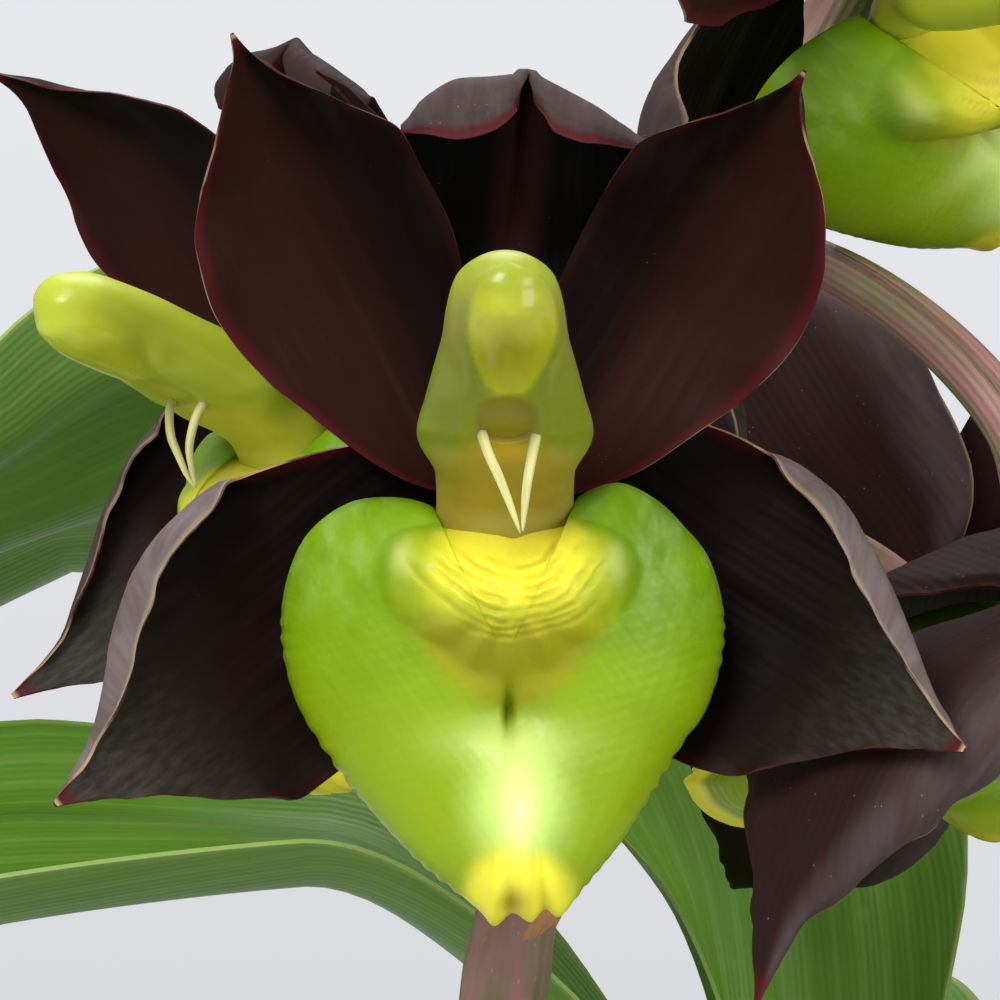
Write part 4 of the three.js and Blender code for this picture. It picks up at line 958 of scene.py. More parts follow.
def moss_top(x, y):
    """The height of the moss."""
    share = np.hypot(x, y) / float(pot_inside(np.array(90.0)))
    tufts = np.sin(0.21 * x + 0.8) * np.cos(0.19 * y) + 0.7 * np.sin(0.37 * x - 0.29 * y + 2)
    return 90 - 4 * share ** 4 + 1.5 * tufts


# Settings

class OrchidTepalSettings(bpy.types.PropertyGroup):
    """Sizes and colours of the petals and sepals."""

    thickness: length("Thickness", "Thickness of a petal in its middle", 0.6)
    maroon: colour("Petal", "Lit skin of the petals", 43, 17, 13)
    # Painted shade: the near black in the hood and beside the column; also the skin's darkest tone
    black: colour("Depth", "Nearly black: painted shade in the hood and beside the column, and the skin's darkest tone", 11, 5, 3)
    brown: colour("Sepal", "Black brown skin of the side sepals", 24, 13, 9)
    # Painted sheen: the greenish grey reflection towards the sepals' ends
    sheen: colour("Painted sepal sheen", "Painted greenish grey sheen towards the sepals' ends", 66, 62, 56)
    back: colour("Outer side", "Dark outer side of petals and sepals", 34, 25, 24)
    lilac: colour("Rolled bands", "Lilac grey of the rolled margins and the hood's edge", 108, 98, 97)
    red: colour("Red", "Red of the tips and margins", 78, 18, 24)
    margin: colour("Margin", "Pale tan line along the outer margins", 168, 142, 108)


class OrchidLipSettings(bpy.types.PropertyGroup):
    """Colours of the lip."""

    green: colour("Green", "Main green of the lip", 116, 152, 10)
    # Darker green in patches; mixed with the olive, painted shade in the slit
    deep: colour("Deep green", "Darker green in patches, and painted shade in the slit", 88, 126, 4)
    lower: colour("Lower green", "Yellower green of the lower half", 134, 156, 6)
    # Painted sheen: whitish streaks of highlight on the upper lobes
    light: colour("Painted lobe sheen", "Painted whitish sheen streaked on the upper lobes", 150, 178, 96)
    yellow: colour("Yellow", "Yellow of the crest and the lower end", 226, 218, 56)
    # Painted shade: darker gold in the creases of the crest's wrinkles
    gold: colour("Gold", "Gold: painted shade in the creases of the crest's wrinkles", 176, 158, 28)
    # Painted shade: olive gold on the crest's lower, downward-turned half, and with the deep green in the
    # slit
    olive: colour("Olive", "Olive gold painted as shade on the crest's lower half", 146, 142, 16)
    # Painted highlight: the pale green halo round the keel's highlight
    halo: colour("Halo", "Pale green painted round the keel's highlight", 206, 234, 124)
    # Painted highlight: pale along the keel and on the crest's shoulders
    keel: colour("Keel", "Painted highlight along the keel and on the crest's shoulders", 240, 246, 166)


class OrchidColumnSettings(bpy.types.PropertyGroup):
    """Colours of the column."""

    top: colour("Column", "Pale green of the column's top", 142, 152, 38)
    side: colour("Side", "Olive of the column's sides", 126, 126, 34)
    wings: colour("Wings", "Green of the wings beside the hollow", 112, 124, 16)
    root: colour("Root", "Brownish yellow of the column's lower part", 142, 124, 38)
    cap: colour("Cap", "Yellow green of the anther cap", 172, 176, 34)
    hollow: colour("Hollow", "Olive brown of the recess below the cap", 116, 108, 16)
    antenna: colour("Antennae", "Cream of the antennae", 206, 202, 136)


class OrchidStemSettings(bpy.types.PropertyGroup):
    """Colours of the flower stem and buds."""

    skin: colour("Stem", "Pinkish brown of the stem", 156, 110, 106)
    green: colour("Green", "Olive green of the younger stalks", 100, 104, 52)
    tan: colour("Scale", "Tan of the dry scales", 206, 150, 84)
    bud: colour("Bud", "Dark brown of the buds", 62, 44, 34)


class OrchidGreenSettings(bpy.types.PropertyGroup):
    """Sizes and colours of the leaves, bulbs and moss."""

    leaf_thickness: length("Leaf thickness", "Thickness of a leaf in its middle", 0.8)
    leaf: colour("Leaf", "Upper side of the leaves", 86, 126, 34)
    leaf_under: colour("Leaf underside", "Lower side of the leaves", 104, 140, 58)
    bulb: colour("Bulb", "Green of the bulbs", 112, 132, 66)
    husk: colour("Husk", "Papery husks round the bulbs", 190, 168, 128)
    moss: colour("Moss", "Dry sphagnum moss", 168, 160, 96)
    moss_green: colour("Fresh moss", "Fresh tips in the moss", 128, 142, 58)
    sprigs: IntProperty(name="Sprigs", description="Number of moss sprigs", default=2600, min=0, max=6000)


class OrchidPotSettings(bpy.types.PropertyGroup):
    """Colours of the clay pot."""

    clay: colour("Clay", "Fired clay", 186, 110, 76)
    bloom: colour("Lime bloom", "Pale bloom of lime on the clay", 214, 176, 148)
    damp: colour("Damp", "Darker damp clay near the foot", 142, 78, 54)


class OrchidStageSettings(bpy.types.PropertyGroup):
    """The floor, the light and the camera."""

    floor: colour("Floor", "Pale floor", 200, 201, 204)
    floor_radius: FloatProperty(name="Floor radius", description="Radius of the floor", default=2.1,
                                unit="LENGTH")
    above: colour("Backdrop above", "Backdrop above the level of the eye", 231, 233, 237)
    below: colour("Backdrop below", "Backdrop below the level of the eye", 217, 219, 223)
    frame_width: length("Frame width", "Width of the picture at the first flower", 55)
    camera_distance: length("Camera distance", "From the camera to the first flower", 260)


# Operators

def tepal_skin(settings):
    """The inner side of petals and sepals: dark satin skin, redder towards the petals' outer margins, with
    painted shade and painted sheen.
    """
    skin = Finish("Tepal inner skin", specular=0.05)
    cloud = skin.clouds((1.3, 0.8, 1), 1, 4, 0.3, 0.75)
    skin.base = skin.mix(cloud, settings.black, settings.brown)
    # Painted shade: the sepals turn near black towards their bases, behind the lip
    skin.coat(skin.ramp("share", 0.1, 0.4, 0.7, 0), settings.black)
    # Painted sheen: greenish grey, in clouds towards the sepals' ends
    fine = skin.sum("ADD", 0.35, skin.times(skin.clouds((9, 2.4, 1), 2.6, 5, 0.28, 0.8, 0.6), 0.65))
    skin.coat(skin.times(skin.ramp("share", 0.52, 0.95), fine), settings.sheen)
    sepal = skin.base
    skin.base = skin.mix(cloud, skin.mix(0.35, settings.maroon, settings.black), settings.maroon)
    # Painted shade: the petals fade to near black towards their inner margins beside the column, and so does
    # the hood
    skin.coat(skin.sum("MAXIMUM", skin.ramp("outward", 0.35, -0.45), "hood"), settings.black)
    # Painted sheen: a greyish cast in clouds towards the petals' tips, in the outer side's colour
    bloom = skin.times(skin.ramp("share", 0.4, 0.85), skin.clouds((4, 1.2, 1), 1.5, 5, 0.42, 0.75))
    skin.coat(bloom, settings.back, 0.35)
    skin.coat("sepal", sepal)
    # Painted shade: the hood's inside is near black, keeping a dark red band down its middle
    depth = skin.mix(0.8, settings.black, (0, 0, 0))
    skin.coat("hood", skin.mix(skin.ramp("side", 0.3, 0.1), depth, paint(28, 11, 9)))
    specks = skin.ramp(skin.cells(skin.where(5, 4, 1), 7), 0.09, 0.03)
    skin.coat(skin.times(specks, skin.clouds((), 3, 3, 0.6, 0.68)), settings.margin, 0.4)
    edge = skin.times(skin.ramp("side", 0.86, 0.99), skin.ramp("outward", 0.2, 0.7, 0.1, 0.55))
    skin.coat(edge, settings.red)
    skin.coat(skin.ramp("share", 0.94, 0.98, 0, 0.8), settings.red)
    skin.coat(skin.ramp("share", 0.985, 0.998), settings.margin)
    skin.bump(skin.bands(skin.where(1, 0.06, 1), 5, 1.2), 0.02, 0.4)
    skin.bump(skin.noise(skin.where(1, 0.6, 1), 40, 4), 0.03, 0.5)
    skin.set("Roughness", skin.ramp(skin.noise(skin.where(1, 0.4, 1), 6), 0.2, 0.8, 0.4, 0.6))
    return skin.done()


def tepal_outer(settings, name, pale_share):
    """The outer side: dark grey brown, lilac grey with pale flecks where the margins roll forward. A copy
    with a small pale share is painted shade.
    """
    skin = Finish(name, roughness=0.64, specular=0.06)
    rolled = skin.times("sepal", skin.ramp("outward", 0.35, 0.75))
    crown = skin.times("hood", skin.ramp("share", 0.7, 0.8), 0.45)
    streak = skin.clouds((7, 1.2, 1), 2, 5, 0.25, 0.8, 0.6)
    skin.base = skin.mix(streak, skin.mix(0.5, settings.back, settings.maroon), settings.back)
    pale = skin.mix(streak, skin.mix(0.45, settings.lilac, settings.maroon), settings.lilac)
    skin.coat(skin.sum("MAXIMUM", rolled, crown), pale, pale_share)
    skin.coat(skin.clouds((1.5, 0.7, 1), 1.6, 3, 0.4, 0.8), settings.maroon, 0.4)
    flecks = skin.ramp(skin.cells(skin.where(3, 2, 1), 9), 0.12, 0.04)
    skin.coat(skin.times(flecks, skin.clouds((), 4, 3, 0.5, 0.62)), settings.margin, 0.6)
    skin.coat(skin.ramp("side", 0.96, 1, 0, 0.45), skin.mix(rolled, settings.red, settings.margin))
    skin.coat(skin.ramp("share", 0.94, 0.98, 0, 0.8), settings.red)
    skin.bump(skin.bands(skin.where(1, 0.06, 1), 5, 1.5), 0.04, 0.5)
    skin.bump(skin.noise(skin.where(1, 0.6, 1), 40), 0.03, 0.6)
    return skin.done()


def tepal_margin(settings):
    """The thin margin: a broken tan line on the outer side, dark elsewhere."""
    skin = Finish("Tepal margin", roughness=0.55, specular=0.15)
    skin.base = skin.mix(0.4, settings.red, settings.black)
    patch = skin.clouds((), 2.2, 4, 0.4, 0.6)
    skin.coat(skin.times(patch, skin.ramp("outward", 0.2, 0.8, 0.05, 0.7)), settings.margin)
    skin.bump(skin.noise(skin.where(), 50), 0.03, 0.6)
    return skin.done()


def place_models(fine, plain, name, part):
    """Puts a copy of the fine model on the first flower, and of the plain one on each flower behind it."""
    for i, flower in enumerate(FLOWERS, 1):
        piece = twin(fine if i == 1 else plain, flower_matrix(flower))
        settle(piece, f"flower_{i}_{name}", f"flower_{i}_{part}")
    for model in (fine, plain):
        bpy.data.objects.remove(model)


class OrchidAddTepals(bpy.types.Operator):
    """Models the petals and sepals of every flower"""

    bl_idname = "orchid.add_tepals"
    bl_label = "Petals and sepals"

    def execute(self, context):
        settings = context.scene.orchid_tepals
        inner = tepal_skin(settings)
        outer = tepal_outer(settings, "Tepal outer skin", 1)
        # Painted shade: the flowers behind the first get a darker copy of the outer skin, with less lilac
        # grey
        darker = tepal_outer(settings, "Shaded tepal outer skin", 0.35)
        margin = tepal_margin(settings)
        fine = model_tepals(110, 56, settings.thickness, [inner, outer, margin])
        plain = model_tepals(48, 28, settings.thickness, [inner, darker, margin])
        place_models(fine, plain, "petals_and_sepals", "tepals")
        return {"FINISHED"}


def flesh(skin, depth=0.5):
    """Lets light through a material, as through thick petals."""
    skin.set("Subsurface Weight", 0.12)
    skin.set("Subsurface Radius", (1, 0.9, 0.2))
    skin.set("Subsurface Scale", depth * MM)


def lip_skin(settings):
    """Waxy green skin that turns yellow on the crest and at the lower end, with painted highlights and
    painted shade.
    """
    skin = Finish("Lip skin", specular=0.2)
    where = skin.where()
    skin.base = skin.mix(skin.clouds((), 1.6, 4, 0.3, 0.75), settings.green, settings.deep)
    skin.coat("fall", settings.lower, 0.85)
    # Painted sheen: whitish streaks of highlight over the upper lobes
    streak = skin.clouds((3, 1.4, 1), 2.4, 5, 0.38, 0.75, 0.6)
    skin.coat(skin.times("lobe", streak), settings.light, 0.5)
    skin.coat("below", skin.mix(0.5, settings.keel, settings.lower), 0.6)
    # Painted highlight: pale green round the keel's highlight
    skin.coat(skin.ramp("halo", 0.1, 1, 0, 0.85), settings.halo)
    uneven = skin.times(skin.sum("SUBTRACT", skin.noise(where, 3.5), 0.5), 0.5)
    skin.coat(skin.ramp(skin.sum("ADD", "yellow", uneven), 0.1, 0.85), settings.yellow)
    skin.coat("warm", (0.75, 0.42, 0.03), 0.12)
    # Painted shade: olive gold on the crest's lower, downward-turned half
    skin.coat("olive", settings.olive, 0.85)
    # Painted shade: darker gold in the creases of the crest's wrinkles
    skin.coat("gold", settings.gold, 0.5)
    skin.coat(skin.ramp(skin.sum("ADD", "apex", uneven), 0.1, 0.95), settings.yellow)
    # Painted highlight: pale along the keel and on the crest's shoulders
    skin.coat("keel", settings.keel, 0.7)
    # Painted shade: the slit below the crest is darkened
    skin.coat("slit", skin.mix(0.5, settings.deep, settings.olive), 0.9)
    # Painted shade: brownish, in the notch between the teeth at the lip's tip
    skin.coat("stain", paint(126, 84, 34), 0.6)
    flesh(skin)
    skin.bump(skin.noise(where, 20, 4), 0.05, 0.5)
    skin.bump(skin.cells(where, 30), 0.015, 0.5)
    skin.set("Roughness", skin.ramp(skin.noise(where, 14), 0.3, 0.75, 0.34, 0.5))
    return skin.done()


class OrchidAddLips(bpy.types.Operator):
    """Models the lip of every flower"""

    bl_idname = "orchid.add_lips"
    bl_label = "Lips"

    def execute(self, context):
        material = lip_skin(context.scene.orchid_lip)
        place_models(model_lip(230, 1, material), model_lip(80, 0.4, material), "heart_lip", "lip")
        return {"FINISHED"}


def column_skin(settings, name, fresh_tips_and_painted_light):
    """Olive green flesh: paler on top, brownish at the root, with a glossy yellow green cap; its lit copy is
    painted lighter.
    """
    skin = Finish(name, specular=0.4)
    where = skin.where()
    cloud = skin.clouds((), 2.4, 4, 0.3, 0.75)
    darker = skin.mix(0.4, settings.cap, settings.wings)
    skin.base = skin.mix(skin.clouds((), 3, 4, 0.35, 0.7), settings.cap, darker)
    skin.coat("crown", settings.top, 0.9)
    skin.coat("shade", paint(124, 112, 2), 0.7)
    cap = skin.base
    skin.base = skin.mix(skin.times(cloud, 0.5), settings.side, settings.wings)
    skin.coat("wings", settings.wings)
    skin.coat("crown", settings.top)
    skin.coat("root", skin.mix(cloud, settings.root, skin.mix(0.5, settings.root, settings.side)))
    skin.coat("cap", cap)
    skin.coat("recess", settings.hollow)
    skin.coat("band", paint(196, 154, 36), 0.7)
    # Painted light: the lit copy is laid over with pale lime green
    skin.coat(fresh_tips_and_painted_light, paint(196, 214, 44))
    flesh(skin)
    skin.set("Roughness", skin.sum("SUBTRACT", 0.45, skin.times("cap", 0.19)))
    skin.bump(skin.noise(where, 18, 4), 0.04, 0.5)
    return skin.done()


def antenna_skin(settings):
    """Cream flesh of the antennae."""
    skin = Finish("Antenna flesh", roughness=0.42, specular=0.35)
    darker = skin.mix(0.4, settings.antenna, settings.side)
    skin.base = skin.mix(skin.clouds((), 2, 3, 0.35, 0.7), settings.antenna, darker)
    flesh(skin, 0.3)
    skin.bump(skin.noise(skin.where(), 30), 0.02, 0.5)
    return skin.done()


class OrchidAddColumns(bpy.types.Operator):
    """Models the column of every flower, with its anther cap and antennae"""

    bl_idname = "orchid.add_columns"
    bl_label = "Columns"

    def execute(self, context):
        settings = context.scene.orchid_column
        antenna = antenna_skin(settings)
        fine = model_column(150, 120, [column_skin(settings, "Column flesh", 0), antenna])
        # Painted light: the flowers behind the first get a lit, lighter copy of the column's flesh
        plain = model_column(56, 44, [column_skin(settings, "Lit column flesh", 0.4), antenna])
        place_models(fine, plain, "column_and_cap", "column")
        return {"FINISHED"}


def stem_skin(settings):
    """Mottled pinkish brown skin with fine ridges and pale flecks."""
    skin = Finish("Stem skin", roughness=0.5, specular=0.4)
    long = (1, 0.35, 1)
    skin.base = skin.mix(skin.clouds(long, 3, 5, 0.35, 0.7), settings.skin, settings.green)
    skin.coat(skin.ramp(skin.cells(skin.where(2.4, 1, 1), 7), 0.16, 0.06), settings.tan, 0.5)
    skin.coat(skin.ramp(skin.noise(skin.where(*long), 1.2), 0.5, 0.72, 0, 0.4), paint(190, 156, 144))
    skin.bump(skin.bands(skin.where(1, 0.05, 1), 3.2, 1), 0.08, 0.6)
    skin.bump(skin.noise(skin.where(*long), 24, 4), 0.06, 0.6)
    return skin.done()


def scale_skin(settings):
    """Dry tan scale, orange towards its tip."""
    skin = Finish("Scale skin", roughness=0.62, specular=0.3)
    skin.base = skin.mix(skin.clouds((3, 0.6, 1), 4, 4, 0.3, 0.75), settings.skin, settings.tan)
    skin.coat(skin.ramp("share", 0.35, 0.9), paint(224, 158, 84))
    skin.bump(skin.bands(skin.where(1, 0.04, 1), 9, 1), 0.08, 0.7)
    return skin.done()


class OrchidAddStem(bpy.types.Operator):
    """Models the flower stem with the flowers' stalks and its scales"""

    bl_idname = "orchid.add_stem"
    bl_label = "Flower stem"

    def execute(self, context):
        settings = context.scene.orchid_stem
        skin = stem_skin(settings)
        dry = scale_skin(settings)
        stem = Route(STEM)
        knots = [flower["root"] for flower in FLOWERS] + [row[0] for row in JOINT_SCALES]

        def radius(s):
            swelling = sum(0.22 * np.exp(-((s - knot) / 0.006) ** 2) for knot in knots)
            return eased(STEM_RADIUS, s) + swelling

        def tube(*form):
            piece = add_tube(*form)[0]
            give(piece, skin)
            return piece

        pieces = [tube(STEM, radius, 150, 20)]
        for flower in FLOWERS:
            start = stem.at(np.array([flower["root"]]))[0]
            matrix = flower_matrix(flower)
            end = np.array(matrix @ (Vector((HUB[0], HUB[1] + HUB_RADIUS + 0.3, HUB[2])) * MM)) / MM
            before = end - 7 * unit(np.array(flower["facing"], float))
            middle = (start + before) / 2 + flower["bow"]
            pieces.append(tube([start, middle, before, end], lambda s: 1.25 + 0.55 * s, 36, 14))
            pieces.append(add_scale(start - np.array([0, 0, 3.0]), middle - start, 8, 2.4, dry))
        for bud in BUDS:
            start, way = bud_root(bud)
            end = np.array(bud["at"]) - way * (0.5 * bud["length"] + 0.3)
            pieces.append(tube([start, end], lambda s: 1 + 0 * s, 10, 12))
        for place, side, height, half in JOINT_SCALES:
            pieces.append(add_scale(stem.at(np.array([place]))[0], (side, -0.4, 0), height, half, dry))
        piece = joined(pieces)
        smooth(piece, 60)
        settle(piece, "stem_with_stalks", "flower_stem")
        return {"FINISHED"}


def bud_skin(settings):
    """Dark brown bud, streaked with green along its seams."""
    skin = Finish("Bud skin", roughness=0.42, specular=0.4)
    skin.base = skin.mix(skin.clouds((4, 0.8, 1), 4, 4, 0.35, 0.7), settings.bud, paint(92, 62, 50))
    skin.coat(skin.ramp("share", 0.3, 0.05), settings.green)
    skin.bump(skin.bands(skin.where(1, 0.05, 1), 5, 1), 0.06, 0.6)
    return skin.done()


class OrchidAddBuds(bpy.types.Operator):
    """Models the buds at the end of the stem"""

    bl_idname = "orchid.add_buds"
    bl_label = "Buds"

    def execute(self, context):
        material = bud_skin(context.scene.orchid_stem)
        for i, bud in enumerate(BUDS, 1):
            way = bud_root(bud)[1]
            ends = [np.array(bud["at"]) + way * t * bud["length"] for t in (-0.5, 0, 0.5)]
            size = bud["radius"]
            piece, s, turn, places = add_tube(ends, lambda s: size * eased(BUD_SHAPE, s), 34, 36)
            middle = Route(ends).at(s)
            seam = 1 - 0.1 * np.exp(-((np.mod(turn / (2 * math.pi) * 3, 1) - 0.5) / 0.07) ** 2)
            set_places(piece, middle + (places - middle) * seam[:, None])
            set_masks(piece, share=s)
            give(piece, material)
            smooth(piece)
            settle(piece, f"closed_bud_{i}", f"bud_{i}")
        return {"FINISHED"}


def leaf_skin(first, name):
    """Smooth leaf skin with faint long veins."""
    skin = Finish(name, roughness=0.5, specular=0.25)
    darker = skin.mix(0.4, first, paint(58, 98, 30))
    skin.base = skin.mix(skin.clouds((1, 0.35, 1), 0.9, 5, 0.3, 0.75), first, darker)
    skin.coat(skin.ramp(skin.bands(skin.where(*VEINS), 1.6, 0.9, 3), 0.6, 1), paint(140, 166, 86), 0.12)
    skin.coat(skin.ramp("side", 0.97, 1, 0, 0.5), paint(150, 166, 92))
    skin.coat(skin.ramp(skin.cells(skin.where(), 1.4), 0.1, 0.03), paint(150, 132, 70), 0.2)
    skin.coat(skin.ramp("share", 0.95, 1, 0, 0.8), paint(146, 112, 62))
    skin.bump(skin.bands(skin.where(*VEINS), 6, 0.6), 0.05, 0.4)
    skin.bump(skin.noise(skin.where(1, 0.5, 1), 22, 4), 0.05, 0.5)
    return skin.done()


class OrchidAddLeaves(bpy.types.Operator):
    """Models the pleated leaves"""

    bl_idname = "orchid.add_leaves"
    bl_label = "Leaves"

    def execute(self, context):
        settings = context.scene.orchid_green
        upper = leaf_skin(settings.leaf, "Leaf upper side")
        lower = leaf_skin(settings.leaf_under, "Leaf lower side")
        for i, leaf in enumerate(LEAVES):
            sheet, s, u = add_grid(120, 48)

            def relief(s, u, across, along):
                wave = 0.9 * np.abs(u) ** 3 * np.sin(0.085 * along + 1.7 * i + np.sign(u))
                wave = wave * step(0.15, 0.4, s)
                veins = 0.08 * np.abs(np.sin(9 * math.pi * u)) * step(0.05, 0.25, s)
                return wave * step(1, 0.8, s) - veins

            places, across, along = blade({**leaf_form(leaf), "relief": relief}, s, u)
            set_places(sheet, places)
            set_uv(sheet, across, along)
            set_masks(sheet, share=s, side=np.abs(u))
            give(sheet, upper, lower, lower)
            thicken(sheet, settings.leaf_thickness, 0.4 + 0.6 * step(1, 0.9, np.abs(u)))
            smooth(sheet, 60)
            settle(sheet, f"pleated_leaf_{i + 1}", f"leaf_{i + 1}")
        return {"FINISHED"}


def bulb_skin(settings):
    """Green bulb skin with pale lengthwise streaks and brown joints."""
    skin = Finish("Bulb skin", roughness=0.45, specular=0.4)
    paler = skin.mix(0.5, settings.bulb, paint(150, 158, 96))
    skin.base = skin.mix(skin.clouds((3, 0.4, 1), 2, 5, 0.35, 0.7), settings.bulb, paler)
    skin.coat("joint", settings.husk)
    skin.coat(skin.ramp("share", 0.2, 0, 0, 0.6), paint(120, 96, 54))
    skin.bump(skin.bands(skin.where(1, 0.02, 1), 1.6, 1.5), 0.25, 0.5)
    skin.bump(skin.noise(skin.where(), 16, 4), 0.1, 0.6)
    return skin.done()


class OrchidAddBulbs(bpy.types.Operator):
    """Models the furrowed bulbs"""

    bl_idname = "orchid.add_bulbs"
    bl_label = "Bulbs"

    def execute(self, context):
        material = bulb_skin(context.scene.orchid_green)
        rings = 120
        for i, bulb in enumerate(BULBS):
            piece, s, turn = add_ball(rings, 64)
            s = np.clip((s - 1 / rings) / (1 - 2 / rings), 0, 1)
            pole = np.hypot(*vertex_places(piece)[:, :2].T) < 1e-5
            age = 0.25 + 0.25 * i
            furrows = 0.035 * age * np.abs(np.sin(5.5 * turn + 0.8 * np.sin(3 * s)))
            furrows = furrows * step(0, 0.15, s) * step(1, 0.85, s)
            radius = np.where(pole, 0, bulb_radius(bulb, s) * (1 - furrows))
            places = np.stack([radius * np.cos(turn), radius * np.sin(turn), s * bulb["length"]], axis=-1)
            set_places(piece, stand_bulb(bulb, places))
            set_uv(piece, turn * bulb["radius"], s * bulb["length"])
            set_masks(piece, share=s, joint=np.cos(2 * math.pi * BULB_NODES * s) ** 24 * 0.7)
            give(piece, material)
            smooth(piece)
            settle(piece, f"ringed_bulb_{i + 1}", f"bulb_{i + 1}")
        return {"FINISHED"}


def moss_skin(settings, name, fresh_tips_and_painted_light):
    """Dry moss, straw coloured with greener tips."""
    skin = Finish(name, roughness=0.9, specular=0.2, kind="Object")
    first = skin.mix(skin.clouds((), 90, 4, 0.35, 0.68), settings.moss, settings.moss_green)
    skin.base = skin.mix(skin.clouds((), 420, 3, 0.3, 0.75), first, paint(112, 92, 52))
    skin.coat(fresh_tips_and_painted_light, first)
    skin.bump(skin.noise(skin.where(), 900, 4), 0.6, 0.7)
    return skin.done()


def add_sprigs(number, reach, material):
    """Sprigs of moss, six small leaves each, that stand at random clear of the bulbs and the stem."""
    chance = np.random.default_rng(5)
    vertices = []
    faces = []
    count = 0
    for _ in range(SPRIG_TRIES):
        if count >= number:
            break
        angle = chance.uniform(0, 2 * math.pi)
        away = reach * math.sqrt(chance.uniform(0, 1))
        x = away * math.cos(angle)
        y = away * math.sin(angle)
        if any(math.hypot(x - b["x"], y - b["y"]) < b["radius"] * 0.78 for b in BULBS):
            continue
        if math.hypot(x - STEM_FOOT[0], y - STEM_FOOT[1]) < STEM_CLEAR:
            continue
        count += 1
        foot = np.array([x, y, float(moss_top(np.array(x), np.array(y))) - 0.8])
        axis = unit(np.array([*chance.normal(0, 0.5, 2), 1.0]))
        aside = unit(np.cross(axis, [0.3, 1.0, 0.1]))
        third = np.cross(axis, aside)
        tall = chance.uniform(1.2, 3.0)
        for k in range(6):
            turn = k * 1.05 + chance.uniform(-0.3, 0.3)
            out = aside * math.cos(turn) + third * math.sin(turn)
            flat = np.cross(axis, out)
            low = foot + axis * tall * (0.2 + 0.11 * k)
            middle = low + out * tall * 0.22 + axis * tall * 0.1
            end = low + out * tall * 0.42 + axis * tall * 0.34
            first = len(vertices)
            vertices += [low, middle + flat * 0.16 * tall, end, middle - flat * 0.16 * tall]
            faces.append((first, first + 1, first + 2, first + 3))
            faces.append((first + 3, first + 2, first + 1, first))
    mesh = bpy.data.meshes.new("sprigs")
    mesh.from_pydata([tuple(vertex * MM) for vertex in vertices], [], faces)
    mesh.materials.append(material)
    sprigs = bpy.data.objects.new("sprigs", mesh)
    bpy.context.collection.objects.link(sprigs)
    return sprigs


class OrchidAddMoss(bpy.types.Operator):
    """Models the moss that fills the pot, with its sprigs"""

    bl_idname = "orchid.add_moss"
    bl_label = "Moss"

    def execute(self, context):
        settings = context.scene.orchid_green
        ball, s, turn = add_ball(90, 96)
        edge = float(pot_inside(np.array(MOSS_EDGE))) - 0.6
        lower = s < 0.5
        height = np.where(lower, 7.5 + (MOSS_EDGE - 7.5) * s / 0.5, MOSS_EDGE)
        radius = np.where(lower, np.minimum(pot_inside(height) - 0.6, edge), edge * (1 - (s - 0.5) / 0.5))
        radius = np.where(s < 0.02, radius * s / 0.02, radius)
        x = radius * np.cos(turn)
        y = radius * np.sin(turn)
        bumps = 0.9 * ripple(0.55 * x, 0.55 * y) + 0.5 * ripple(1.4 * x, 1.4 * y, 2)
        top = np.maximum(moss_top(x, y) - 1.2 + bumps, MOSS_EDGE)
        z = np.where(lower, height, MOSS_EDGE + (top - MOSS_EDGE) * step(0.5, 0.56, s))
        set_places(ball, np.stack([x, y, z], axis=-1))
        set_uv(ball, x, y)
        bed = moss_skin(settings, "Moss bed", 0)
        fresh_tips_and_painted_light = moss_skin(settings, "Moss sprigs", 0.4)
        give(ball, bed, fresh_tips_and_painted_light)
        piece = joined([ball, add_sprigs(settings.sprigs, edge - 0.8, fresh_tips_and_painted_light)])
        smooth(piece, 70)
        settle(piece, "moss_bed", "moss")
        return {"FINISHED"}


def clay_skin(settings):
    """Fired clay with turning lines, lime bloom and damp stains."""
    skin = Finish("Fired clay", roughness=0.85, specular=0.25, kind="Object")
    where = skin.where()
    darker = skin.mix(0.4, settings.clay, settings.damp)
    skin.base = skin.mix(skin.clouds((), 26, 5, 0.3, 0.72), settings.clay, darker)
    skin.coat(skin.clouds((), 42, 6, 0.52, 0.72, 0.65), settings.bloom, 0.5)
    height = skin.node("SeparateXYZ", "Z", {0: where})
    uneven = skin.times(skin.noise(where, 30, 4), 0.03)
    skin.coat(skin.ramp(skin.sum("ADD", height, uneven), 0.045, 0.01), settings.damp, 0.6)
    skin.coat(skin.ramp(skin.cells(where, 480), 0.2, 0.08), paint(96, 60, 44), 0.25)
    skin.bump(skin.bands(skin.where(0.02, 0.02, 1), 160, 1.5), 0.12, 0.4)
    skin.bump(skin.noise(where, 700, 4), 0.18, 0.5)
    return skin.done()


